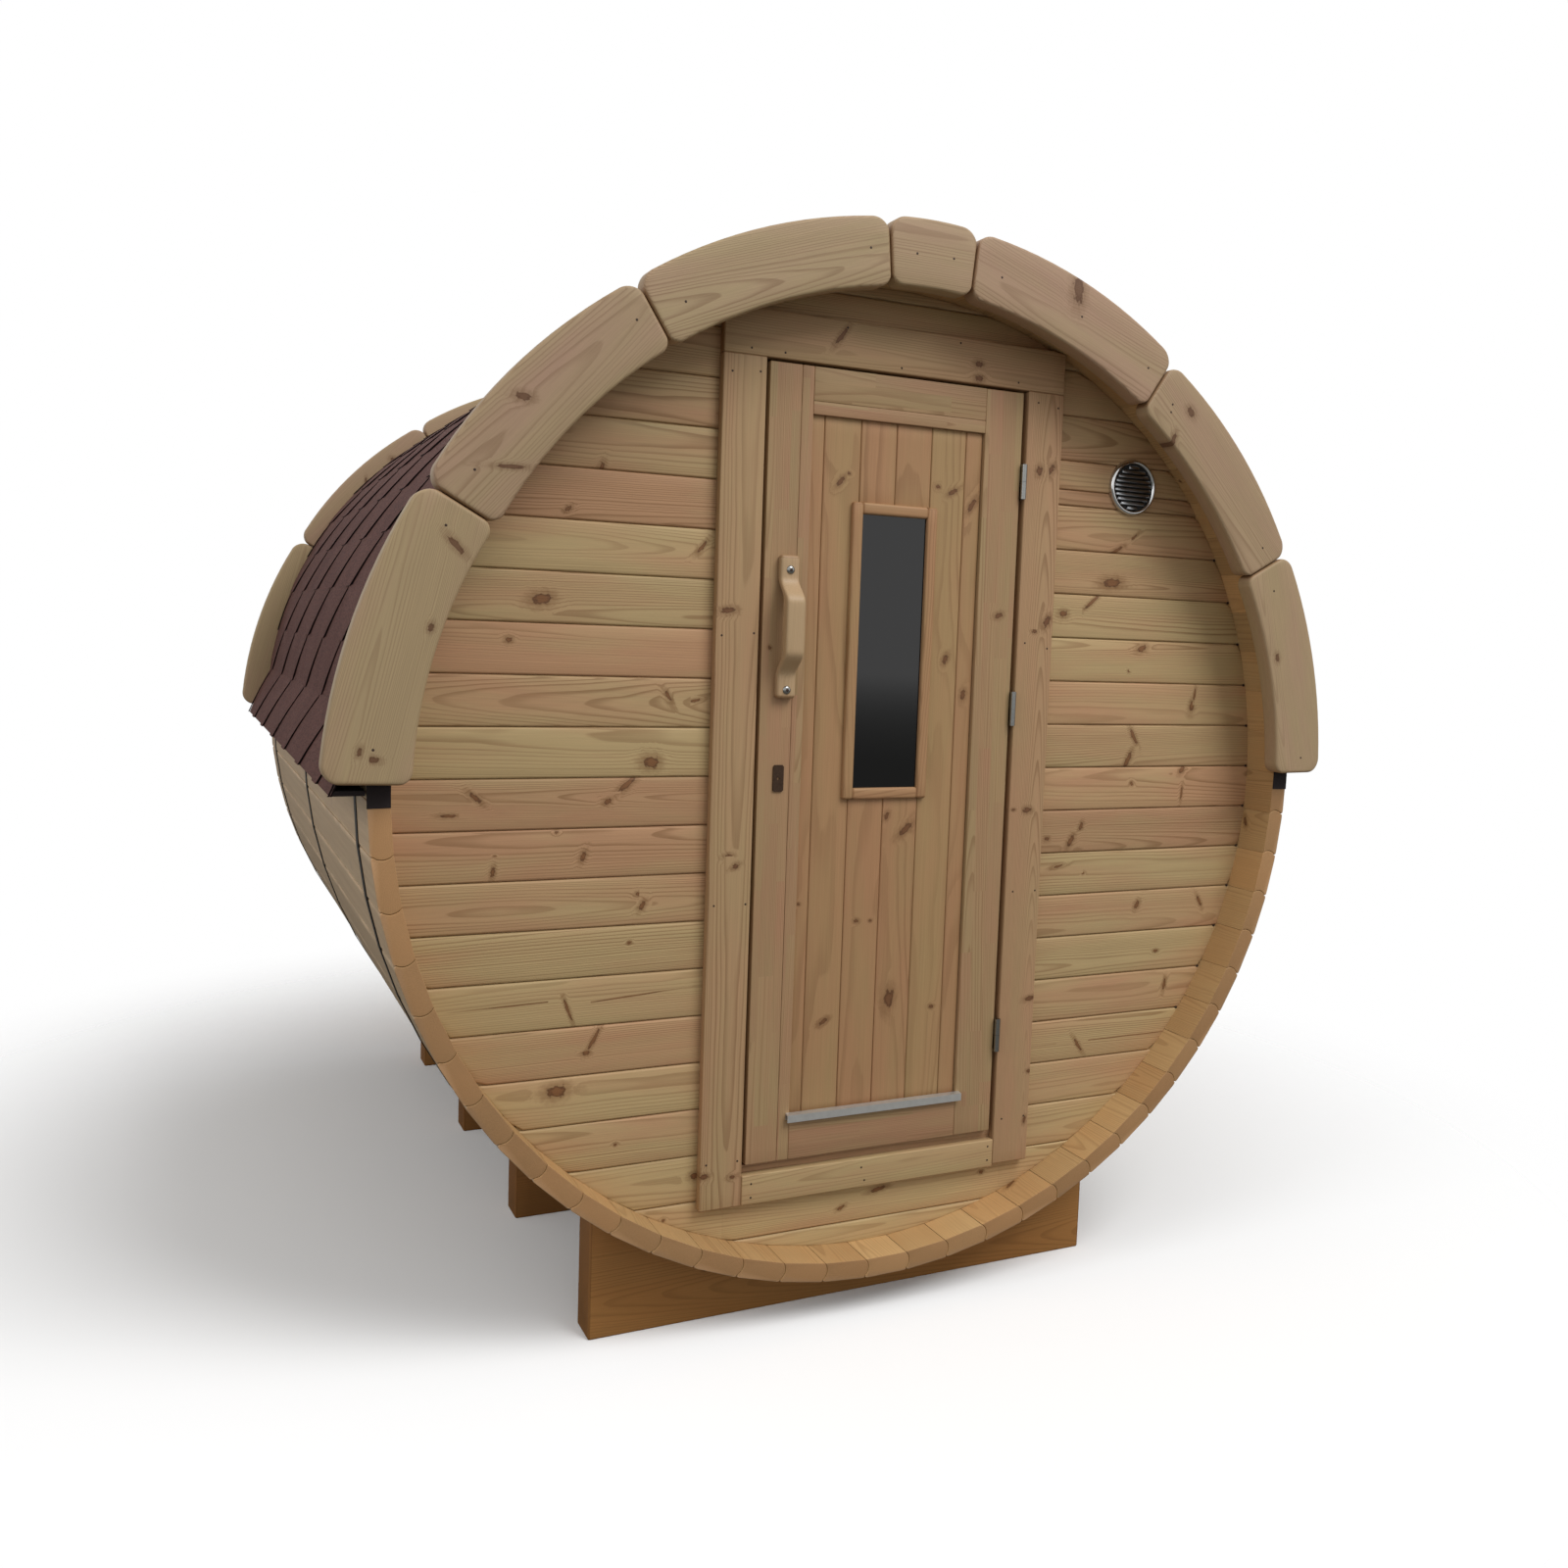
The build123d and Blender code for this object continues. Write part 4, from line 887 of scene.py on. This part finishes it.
# Jambs and stops
jamb_thickness = 0.030
stop_thickness = 0.012
low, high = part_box("door_jambs")
jamb_boards = [
    board_in_box(low, (low[0] + jamb_thickness, high[1], high[2]), "z", 0.001),
    board_in_box((high[0] - jamb_thickness, low[1], low[2]), high, "z", 0.001),
]
add_timbers("boards_door_jambs", jamb_boards, casing_pine, "barrel", ["door_jambs"])
low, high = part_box("door_stops")
stop_top = high[2] - stop_thickness - 0.0004
stop_boards = [
    board_in_box(low, (low[0] + stop_thickness, high[1], stop_top), "z", 0.001),
    board_in_box((high[0] - stop_thickness, low[1], low[2]), (high[0], high[1], stop_top), "z", 0.001),
    board_in_box((low[0], low[1], high[2] - stop_thickness), high, "x", 0.001),
]
add_timbers("boards_door_stops", stop_boards, casing_pine, "barrel", ["door_stops"])

# Floor: boards lengthwise with gaps between them, on bearers cut to the barrel
floor_board_count = 9
floor_board_width = 0.100
floor_board_pitch = 0.112
low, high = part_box("floor_boards")
floor_boards = []
for number in range(floor_board_count):
    left = low[0] + number * floor_board_pitch
    right = left + floor_board_width
    floor_boards.append(board_in_box((left, low[1], low[2]), (right, high[1], high[2]), "y", 0.003,
                                     knots=random_knots(low[1], high[1], left, right)))
add_timbers("boards_floor", floor_boards, wall_pine, "barrel", ["floor_boards"])
bearer_half = 0.0225
bearer_reach = 0.9605
bearer_boards = []
low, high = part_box("floor_bearers")
for middle in (low[1] + bearer_half, 0.0, high[1] - bearer_half):
    half_length = np.sqrt(bearer_reach**2 - (high[2] - axis_z) ** 2)
    stations, inset = eased_stations(-half_length, half_length, 0.001, 0.03)
    foot = -np.sqrt(np.maximum(bearer_reach**2 - stations**2, 0.0))
    bearer_boards.append(straight(stations, inset, foot, high[2] - axis_z, -middle - bearer_half,
                                  -middle + bearer_half, 0.002, x_axis, z_axis, -y_axis))
add_timbers("boards_floor_bearers", bearer_boards, wall_pine, "barrel", ["floor_bearers"])

# Cradles: planks whose top follows the barrel between two short flats
plank_edge = 0.004
saddle_gap = 0.0005
for cradle in ("cradle_1", "cradle_2", "cradle_3", "cradle_4"):
    low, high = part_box(cradle)
    stations, inset = eased_stations(low[0], high[0], plank_edge, station_step)
    saddle = -np.sqrt(np.maximum((barrel_radius + saddle_gap) ** 2 - stations**2, 0.0))
    top = np.minimum(high[2] - axis_z, saddle)
    knots = random_knots(low[0], high[0], -1.06, -0.95, per_metre=3.0, largest=0.012)
    board = straight(stations, inset, low[2] - axis_z, top, -high[1], -low[1], plank_edge,
                     x_axis, z_axis, -y_axis, knots=knots)
    add_timbers(f"plank_{cradle}", [board], stained_pine, "barrel", [cradle])

# Door panel: six upright boards; the two behind the window are interrupted by it
panel_joints = (panel_low[0], -0.155, -0.076, 0.003, 0.082, 0.161, panel_high[0])
panel_blush = (0.7, 0.45, 0.75, 0.8, 0.2, 0.6)
panel_edges = (0.0034, 0.0034, 0.0005, 0.0005)
panel_gap = 0.0002
# The rings are counted from a line nearly 2 m from the boards, so that few and wide ones show
panel_ring_depth = 0.95
panel_boards = []
for number, (left, right) in enumerate(zip(panel_joints[:-1], panel_joints[1:])):
    knots = front_knots(panel_knots, "z")
    knots = [knot for knot in knots if left < knot[1] < right]
    sawn = log_place(np.array((0.0, (left + right) / 2, panel_ring_depth)), upright_rings=True)
    behind_window = left > window_low[0] and right < window_high[0]
    heights = [(panel_low[2], panel_high[2])]
    if behind_window:
        heights = [(panel_low[2], window_low[2]), (window_high[2], panel_high[2])]
    for lower, upper in heights:
        panel_boards.append(board_in_box(
            (left + panel_gap, panel_low[1], lower), (right - panel_gap, panel_high[1], upper), "z",
            panel_edges, knots=knots, blush=panel_blush[number], shade=0.0, sawn=sawn, face_points=2,
        ))
add_timbers("boards_door_panel", panel_boards, door_pine, "door", ["door_panel"])

# Window frame: two upright bars, and two level ones that reach a little into them, set back a hair
bar = 0.0225
lap = 0.002
set_back = 0.0004
bars = []
level_from = window_low[0] + bar - lap
level_to = window_high[0] - bar + lap
level_front = window_low[1] + set_back
for low, high, direction in (
    (window_low, (window_low[0] + bar, window_high[1], window_high[2]), "z"),
    ((window_high[0] - bar, window_low[1], window_low[2]), window_high, "z"),
    ((level_from, level_front, window_low[2]), (level_to, window_high[1], window_low[2] + bar), "x"),
    ((level_from, level_front, window_high[2] - bar), (level_to, window_high[1], window_high[2]), "x"),
):
    bars.append(board_in_box(low, high, direction, 0.005, shade=0.3, blush=0.7))
add_timbers("bars_window_frame", bars, door_pine, "door", ["window_frame"])


# Pull handle
def smoothstep(way, length):
    """3t^2 - 2t^3 of the share t of a length."""
    turn = np.clip(way / length, 0.0, 1.0)
    return 3 * turn**2 - 2 * turn**3


def bowed_handle():
    """The handle's section carried upwards: its front and back lines are smoothsteps from the two
    flat feet out to the grip."""
    low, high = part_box("door_handle")
    foot_height = 0.043
    foot_depth = 0.017
    bend = 0.046
    reach = leaf_front - low[1]
    grip_depth = 0.023
    back_lead = 0.004
    stations, inset = eased_stations(low[2] - axis_z, high[2] - axis_z, 0.006, 0.006)
    way = np.minimum(stations - (low[2] - axis_z), (high[2] - axis_z) - stations)
    front = foot_depth + (reach - foot_depth) * smoothstep(way - foot_height, bend)
    back = (reach - grip_depth) * smoothstep(way - foot_height + back_lead, bend)
    return straight(stations, inset, low[0], high[0], back - leaf_front, front - leaf_front,
                    (0.005, 0.005, 0.003, 0.003), z_axis, x_axis, -y_axis, shade=0.6, blush=0.5)


add_timbers("bowed_door_handle", [bowed_handle()], handle_birch, "door", ["door_handle"])


# Roof
def roof_stand(angle):
    """How far the roof's underside stands off the staves at an angle: it kicks out at the eave."""
    return eave_flare * np.maximum(0.0, 1.0 - (angle - eave_angle) / (course_start - eave_angle))


def roof_sheet(angle, foot, top, y_from, y_to, side):
    """A bent sheet over a row of angles. At each angle its section is a rectangle from y_from to y_to
    whose underside and top stand foot and top above the roof's radius."""
    values = np.broadcast_arrays(np.asarray(angle, float), foot, top, y_from, y_to)
    angle, foot, top, y_from, y_to = values
    base = roof_radius + roof_stand(angle)
    y = np.stack((y_from, y_to, y_to, y_from), axis=1)
    radius = np.stack((base + foot, base + foot, base + top, base + top), axis=1)
    turn = np.radians(angle)[:, None]
    return np.stack((side * radius * np.cos(turn), y, axis_z + radius * np.sin(turn)), axis=-1)


def mineral_shingle():
    """Bitumen shingle with mineral granules: matt, reddish brown, speckled at the size of grit
    (1 to 2 mm, drawn at 3 mm), in clouds about 170 mm across. Its cut edges, whose normals don't
    point away from the barrel's axis, show the black bitumen."""
    material, tree = new_material("mineral_shingle")
    place = add(tree, "ShaderNodeTexCoord", output=3)
    grit = add(tree, "ShaderNodeTexVoronoi", {"Vector": place, "Scale": 330.0}, output=1)
    grit_value = add(tree, "ShaderNodeSeparateColor", {0: grit})
    blot = add(tree, "ShaderNodeTexNoise", {"Vector": place, "Scale": 6.0, "Detail": 5.0})
    base = add(tree, "ShaderNodeMix",
               {"Factor": blot, 6: linear("#4c2f2b"), 7: linear("#6b4a43")}, **colour_mix)
    speck = add(tree, "ShaderNodeMapRange", {0: grit_value, 1: 0.0, 2: 1.0, 3: 0.55, 4: 1.4})
    speckled = add(tree, "ShaderNodeHueSaturation", {"Value": speck, "Color": base})
    from_axis = add(tree, "ShaderNodeVectorMath", {0: place, 1: (0.0, 0.0, axis_z)}, operation="SUBTRACT")
    level = add(tree, "ShaderNodeVectorMath", {0: from_axis, 1: (1.0, 0.0, 1.0)}, operation="MULTIPLY")
    radial = add(tree, "ShaderNodeVectorMath", {0: level}, operation="NORMALIZE")
    normal = add(tree, "ShaderNodeNewGeometry", output=3)
    facing = add(tree, "ShaderNodeVectorMath", {0: normal, 1: radial}, output=1, operation="DOT_PRODUCT")
    coated = add(tree, "ShaderNodeMapRange", {0: facing, 1: 0.45, 2: 0.75})
    colour = add(tree, "ShaderNodeMix", {"Factor": coated, 6: linear("#1a0f10"), 7: speckled}, **colour_mix)
    bump = add(tree, "ShaderNodeBump", {"Height": grit_value, "Strength": 0.5, "Distance": 0.001})
    shader = add(tree, "ShaderNodeBsdfPrincipled", {"Base Color": colour, "Roughness": 0.92,
                                                     "Specular IOR Level": 0.2, "Normal": bump})
    add(tree, "ShaderNodeOutputMaterial", {0: shader})
    return material


def plain(name, code, roughness, metallic=0.0, mottle=0.08, scale=40.0, bump_depth=0.0002, **sockets):
    """A finish of one colour with slight clouds in its brightness and a fine uneven surface. The
    clouds are 1 m / scale across: 25 mm, and finer on small parts, such as 3 mm on zinc and nails."""
    material, tree = new_material(name)
    place = add(tree, "ShaderNodeTexCoord", output=3)
    cloud = add(tree, "ShaderNodeTexNoise", {"Vector": place, "Scale": scale, "Detail": 4.0})
    value = add(tree, "ShaderNodeMath", {0: cloud, 1: 2 * mottle, 2: 1 - mottle}, operation="MULTIPLY_ADD")
    colour = add(tree, "ShaderNodeHueSaturation", {"Value": value, "Color": linear(code)})
    bump = add(tree, "ShaderNodeBump", {"Height": cloud, "Strength": 0.3, "Distance": bump_depth})
    shader = add(tree, "ShaderNodeBsdfPrincipled", {"Base Color": colour, "Roughness": roughness,
                                                     "Metallic": metallic, "Normal": bump, **sockets})
    add(tree, "ShaderNodeOutputMaterial", {0: shader})
    return material


shingle = mineral_shingle()
# Bitumen felt, black and dull, on the eave battens; the same black over the stave ends under the fascia's
# ends is painted shade
black_felt_and_shade = plain("bitumen_felt_and_painted_shade", "#1c1213", 0.9, scale=120.0, mottle=0.25)
tab_slant = (tab_pitch - tab_foot) / 2
tab_gap = 0.0012
tab_rows = 5
# Degrees by which a tab starts above the foot of its course and reaches under the next one
tab_start = 0.02
tab_overlap = 0.15
least_width = 0.002
sheet_foot = 0.0002
sheet_top = 0.0032
for name, side in (("roof_right", 1), ("roof_left", -1)):
    tabs = []
    # The right eave ends a little higher, behind the fascia: nothing shows below the board there
    eave = eave_angle + np.degrees(right_eave_lift) * (side == 1)
    edges = [eave] + [course_start + n * course_angle for n in range(course_count + 1)]
    whole = np.linspace(edges[0], edges[-1], 64)
    sheets = [roof_sheet(whole, sheet_foot, sheet_top, barrel_front, barrel_back, side)]
    for course, (start, end) in enumerate(zip(edges[:-1], edges[1:])):
        angle = np.linspace(start + tab_start, end + tab_overlap * (course < course_count), tab_rows)
        share = np.linspace(0.0, 1.0, tab_rows)
        first = tab_first_notch + tab_pitch / 2 * (course % 2)
        for notch in first + tab_pitch * np.arange(-5, 5):
            left = notch + tab_gap + tab_slant * (1 - share)
            right = notch + tab_pitch - tab_gap - tab_slant * (1 - share)
            left = np.clip(left, barrel_front, barrel_back - 0.0005)
            right = np.clip(right, barrel_front + 0.0005, barrel_back)
            if np.max(right - left) < least_width:
                continue
            right = np.maximum(right, left + 0.0004)
            # The lower edge of a tab lies on the course below, its upper edge on the sheet
            underside = 0.0040 - 0.0010 * share
            face = 0.0078 - dice.uniform(0.0, 0.0005) - 0.0024 * share
            tabs.append(roof_sheet(angle, underside, face, left, right, side))
    add_grids(f"tabs_{name}", sheets + tabs, shingle, "barrel", [name], smooth=25.0)
ridge_start = course_start + course_count * course_angle
ridge_tab_pitch = 0.14
ridge_tab_length = 0.16
ridge_tab_slope = 0.015
ridge_tabs = []
for left in np.arange(barrel_front, barrel_back - 0.01, ridge_tab_pitch):
    right = min(left + ridge_tab_length, barrel_back)
    angle = np.linspace(ridge_start + 0.03, 180 - ridge_start - 0.03, 9)
    section = rounded_section(left + 0.001, right, roof_radius + 0.0030, roof_radius + 0.0078, 0.001,
                              np.zeros(9))
    # Each tab lies on the end of the one before it
    radius = section[..., 1] - ridge_tab_slope * (section[..., 0] - left)
    turn = np.radians(angle)[:, None]
    ridge_tabs.append(np.stack((radius * np.cos(turn), section[..., 0], axis_z + radius * np.sin(turn)),
                               axis=-1))
add_grids("tabs_roof_ridge", ridge_tabs, shingle, "barrel", ["roof_ridge"])

# Felted wedges that carry the kicked-out eaves
low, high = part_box("eave_battens")
wedges = []
for side, lift in ((1, np.degrees(right_eave_lift)), (-1, 0.0)):
    angle = np.linspace(eave_angle + lift + 0.04, eave_angle + lift + 0.5, 3)
    wedges.append(roof_sheet(angle, 0.0003 - roof_stand(angle), -0.0002, low[1], high[1], side))
add_grids("felted_eave_battens", wedges, black_felt_and_shade, "barrel", ["eave_battens"])

# Painted shade: black sheets over the ends of the top staves, under both ends of the front fascia, where
# those ends shade the stave ends
painted_shade_flaps = []
flap_overlap = 0.0005
flap_inner = barrel_radius - stave_thickness - flap_overlap
flap_outer = barrel_radius + flap_overlap
for start, end in ((-1.4, 1.2), (178.7, 181.5)):
    angle = np.radians(np.linspace(start, end, 4))[:, None]
    section = rounded_section(flap_inner, flap_outer, 0.0002, 0.0012, 0.0003, np.zeros(4))
    painted_shade_flaps.append(np.stack((section[..., 0] * np.cos(angle), barrel_front - section[..., 1],
                                axis_z + section[..., 0] * np.sin(angle)), axis=-1))
add_grids("painted_shade_flaps", painted_shade_flaps, black_felt_and_shade, "barrel", [])


# Small metal parts
def revolved(profile, centre, turns=48):
    """A profile of radius and out, revolved round the -Y direction through a centre."""
    profile = np.array(profile)
    turn = np.linspace(0.0, 2 * np.pi, turns, endpoint=False)[:, None]
    return np.stack((
        centre[0] + profile[:, 0] * np.cos(turn),
        centre[1] - np.broadcast_to(profile[:, 1], (turns, len(profile))),
        centre[2] + profile[:, 0] * np.sin(turn),
    ), axis=-1).transpose(1, 0, 2)


def domed_head(x, rise, y, radius, height):
    """A nail or screw head: rings of the radius R cos a at the height H sin a."""
    turn = np.radians((0.0, 25.0, 50.0, 75.0))
    profile = [(radius, -0.001)] + [(radius * np.cos(a), height * np.sin(a)) for a in turn]
    return revolved(profile, (x, y, axis_z + rise), 12)


# Zinc-plated steel: a grey shine with fine clouds in it
zinc = plain("zinc_plated_steel", "#8f8f8c", 0.24, metallic=1.0, mottle=0.12, scale=300.0)
# Chrome: a pale, sharp shine
chrome = plain("chromed_cover", "#c8c8c8", 0.14, metallic=1.0, mottle=0.03)
# Ring-shank nails driven flush: dark, a little rusty. The same dark steel draws dots of painted shade at the
# ends of the right wall's joints
nail_and_shade_steel = plain("dark_nail_steel_and_painted_shade", "#3a2a20", 0.6, metallic=0.4, mottle=0.2, scale=300.0)
# Radius and height of each kind of head
casing_head = (0.0022, 0.0005)
fascia_head = (0.0024, 0.0003)
joint_shade_dot = (0.0032, 0.0004)
heads = [domed_head(x, rise, casing_front, *casing_head) for x, rise in casing_nails]
heads += [domed_head(x, rise, fascia_front + nail_proud, *fascia_head) for x, rise in fascia_nails]
# Painted shade: dark dots at the ends of the right wall's joints, in the hollows where they meet the staves
for number in range(3, 15):
    rise = wall_groove_rise + right_groove_lift - number * wall_board_pitch
    x = np.sqrt(wall_reach**2 - rise**2) - 0.006
    heads.append(domed_head(x, rise, wall_front, *joint_shade_dot))
add_grids("nail_heads_and_shade_dots", heads, nail_and_shade_steel, "barrel", [])
handle_low, handle_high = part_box("door_handle")
handle_x = (handle_low[0] + handle_high[0]) / 2
screw_rises = (handle_low[2] + 0.016 - axis_z, handle_high[2] - 0.028 - axis_z)
# Names with how far the head starts off the leaf, its radius and its height
for name, stand, radius, height, metal in (
    ("handle_screws", 0.0170, 0.0085, 0.0036, zinc),
    ("handle_screw_sockets", 0.0203, 0.0032, 0.0007, nail_and_shade_steel),
):
    heads = [domed_head(handle_x, rise, leaf_front - stand, radius, height) for rise in screw_rises]
    add_grids(name, heads, metal, "door", [])

# Vent cover: a domed ring, a back plate and hooded louvres. The ring's section is a half circle whose
# sine is raised to the power 0.8; a louvre's is a quarter ellipse that shrinks towards its ends
vent_low, vent_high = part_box("wall_vent")
vent_x = (vent_low[0] + vent_high[0]) / 2
vent_z = (vent_low[2] + vent_high[2]) / 2
vent_radius = (vent_high[0] - vent_low[0]) / 2
vent_proud = wall_front - vent_low[1]
ring_turn = np.radians(np.linspace(0.0, 180.0, 9))
ring_half = 0.0055
ring_middle = vent_radius - ring_half
vent_centre = (vent_x, wall_front, vent_z)
ring = [(ring_middle + ring_half * np.cos(a), vent_proud * np.sin(a) ** 0.8) for a in ring_turn]
ring += [(ring_middle - ring_half, -0.001), (ring_middle + ring_half, -0.001)]
ring_grid = revolved(ring, vent_centre, 56)
ring_grid = ring_grid.transpose(1, 0, 2)
vent_ring = np.concatenate((ring_grid, ring_grid[:1]))
add_grids("vent_ring", [vent_ring], chrome, "barrel", ["wall_vent"], closed=(True, False))
plate_depth = 0.0030
plate = revolved([(0.0505, 0.0), (0.0505, plate_depth), (0.0490, 0.0034)], vent_centre, 40)
hoods = []
louvre_count = 10
louvre_half_span = 0.0475
louvre_reach = 0.0495
louvre_end = 0.0030
louvre_depth = 0.0052
louvre_pitch = 2 * louvre_half_span / louvre_count
for number in range(louvre_count):
    middle = (number + 0.5) * louvre_pitch - louvre_half_span
    half = np.sqrt(louvre_reach**2 - (abs(middle) + louvre_pitch / 2) ** 2)
    stations, inset = eased_stations(vent_x - half, vent_x + half, louvre_end, 0.02)
    swell = 1 - inset / louvre_end
    turn = np.radians(np.linspace(0.0, 90.0, 6))
    hood_y = wall_front - plate_depth - louvre_depth * np.sin(turn) * swell[:, None]
    hood_z = vent_z + middle - louvre_pitch * 0.40 + louvre_pitch * 0.80 * np.cos(turn) * swell[:, None]
    x = np.broadcast_to(stations[:, None], hood_y.shape)
    outer_skin = np.stack((x, hood_y, hood_z), axis=-1)
    inner_skin = outer_skin + (0.0, 0.0009, -0.0007)
    hoods.append(np.concatenate((outer_skin, inner_skin[:, ::-1]), axis=1))
# The louvres are the same metal, duller; the net behind them is in the dark
slat_metal = plain("vent_slat_metal", "#8a8c8e", 0.30, metallic=1.0, mottle=0.05)
add_grids("vent_louvres", hoods, slat_metal, "barrel", [])
dark_hollow = plain("dark_vent_net", "#141312", 0.8, mottle=0.2, scale=200.0)
add_grids("vent_plate", [plate], dark_hollow, "barrel", [])

# Metals and glass on the nodes that stay
# Steel strip with a dark coat: brownish black, half dull
hoop_metal = plain("dark_coated_strip", "#1f1a18", 0.5, metallic=0.6)
# Mill-finish aluminium: pale, with a soft shine
aluminium = plain("mill_finish_aluminium", "#d2d2d0", 0.46, metallic=1.0, mottle=0.1, scale=90.0)
# Bronzed plate: dark brown and blotchy
bronze = plain("bronzed_plate", "#4a382c", 0.40, metallic=0.8, mottle=0.35, scale=200.0)
# Insulated glass before a dark room: black, with a sharp reflection
pane_glass = plain("dark_insulated_glass", "#0a0a0b", 0.03, mottle=0.02, bump_depth=0.00002, IOR=1.55)
for name, material in (
    ("hoops", hoop_metal), ("hinge_frame_halves", zinc), ("hinge_leaf_halves", zinc),
    ("drip_strip", aluminium), ("lock_plate", bronze), ("window_glass", pane_glass),
):
    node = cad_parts[name]
    node.data.materials.clear()
    node.data.materials.append(material)

# Studio: the floor is white to the camera and fades out from 1.2 to 2.7 m from the middle, in
# reflections from 7 to 50 m; other rays see it grey, so that little light comes from below
floor_mesh = bpy.data.meshes.new("studio_floor")
reach = 60.0
floor_corners = ((-reach, -reach, 0), (reach, -reach, 0), (reach, reach, 0), (-reach, reach, 0))
floor_mesh.from_pydata(floor_corners, [], [(0, 1, 2, 3)])
studio_floor = bpy.data.objects.new("studio_floor", floor_mesh)
bpy.context.scene.collection.objects.link(studio_floor)
floor_material, tree = new_material("pale_floor")
path = tree.nodes.new("ShaderNodeLightPath")
camera_ray = path.outputs["Is Camera Ray"]
mirrored_ray = add(tree, "ShaderNodeMath", {0: path.outputs["Is Glossy Ray"],
                                            1: path.outputs["Is Transmission Ray"]}, operation="ADD")
floor_colour = add(tree, "ShaderNodeMix",
                   {"Factor": camera_ray, 6: linear("#8c8c88"), 7: linear("#fcfcfc")}, **colour_mix)
floor_shader = add(tree, "ShaderNodeBsdfDiffuse", {"Color": floor_colour, "Roughness": 1.0})
place = add(tree, "ShaderNodeTexCoord", output=3)
way = add(tree, "ShaderNodeVectorMath", {0: place}, output=1, operation="LENGTH")
near_fade = add(tree, "ShaderNodeMapRange", {0: way, 1: 1.2, 2: 2.7}, **soft_step)
near_fade = add(tree, "ShaderNodeMath", {0: near_fade, 1: camera_ray}, operation="MULTIPLY")
far_fade = add(tree, "ShaderNodeMapRange", {0: way, 1: 7.0, 2: 50.0}, **soft_step)
fade = add(tree, "ShaderNodeMath", {0: far_fade, 1: mirrored_ray, 2: near_fade}, operation="MULTIPLY_ADD")
clear = add(tree, "ShaderNodeBsdfTransparent")
floor_mix = add(tree, "ShaderNodeMixShader", {0: fade, 1: floor_shader, 2: clear})
add(tree, "ShaderNodeOutputMaterial", {0: floor_mix})
floor_mesh.materials.append(floor_material)

# World: white to the camera and in reflections, weaker as a light
world = bpy.data.worlds.new("studio")
bpy.context.scene.world = world
world.use_nodes = True
tree = world.node_tree
tree.nodes.clear()
path = tree.nodes.new("ShaderNodeLightPath")
seen = add(tree, "ShaderNodeMath", {0: path.outputs["Is Camera Ray"], 1: path.outputs["Is Glossy Ray"]},
           operation="ADD")
seen = add(tree, "ShaderNodeMath", {0: seen, 1: path.outputs["Is Transmission Ray"]}, operation="ADD",
           use_clamp=True)
strength = add(tree, "ShaderNodeMapRange", {0: seen, 1: 0.0, 2: 1.0, 3: 0.58, 4: 1.0})
sky = add(tree, "ShaderNodeBackground", {"Color": (1.0, 1.0, 1.0, 1.0), "Strength": strength})
add(tree, "ShaderNodeOutputWorld", {0: sky})


def place_and_turn(holder, place, right, forward, up):
    """Sets a lamp or camera at a place with its own right, forward and up directions."""
    turn = np.eye(4)
    turn[:3, :3] = np.stack((right, up, -forward), axis=1)
    turn[:3, 3] = place
    holder.matrix_world = Matrix(turn.tolist())


def area_light(name, place, target, size, power):
    """A square lamp that looks at a point. Its size is in metres, its power in watts."""
    lamp = bpy.data.lights.new(name, "AREA")
    lamp.shape = "SQUARE"
    lamp.size = size
    lamp.energy = power
    holder = bpy.data.objects.new(name, lamp)
    bpy.context.scene.collection.objects.link(holder)
    toward = np.array(target) - np.array(place)
    toward = toward / np.linalg.norm(toward)
    right = np.cross(toward, z_axis)
    right = right / np.linalg.norm(right)
    place_and_turn(holder, place, right, toward, np.cross(right, toward))


area_light("key", (2.4, -5.2, 7.0), (0.0, -0.5, 1.0), 4.0, 352.0)
area_light("left_fill", (-7.0, -2.5, 4.5), (0.0, 0.0, 1.1), 4.0, 80.0)

# Camera, set from the fit to the photograph
camera_place = (-1.314, -3.432, 1.371)
camera_yaw, camera_pitch, camera_roll = np.radians((-26.17, -5.16, -2.13))
turned = Matrix.Rotation(camera_yaw, 3, "Z")
turned = turned @ Matrix.Rotation(camera_pitch, 3, "X") @ Matrix.Rotation(camera_roll, 3, "Y")
right, forward, up = np.array(turned).T
lens = bpy.data.cameras.new("photo_camera")
lens.lens = 32.0
lens.sensor_fit = "HORIZONTAL"
lens.sensor_width = 36.0
lens.shift_x = -0.0328
lens.shift_y = -0.0156
camera = bpy.data.objects.new("photo_camera", lens)
bpy.context.scene.collection.objects.link(camera)
place_and_turn(camera, camera_place, right, forward, up)
bpy.context.scene.camera = camera
bpy.context.scene.view_settings.view_transform = "Standard"
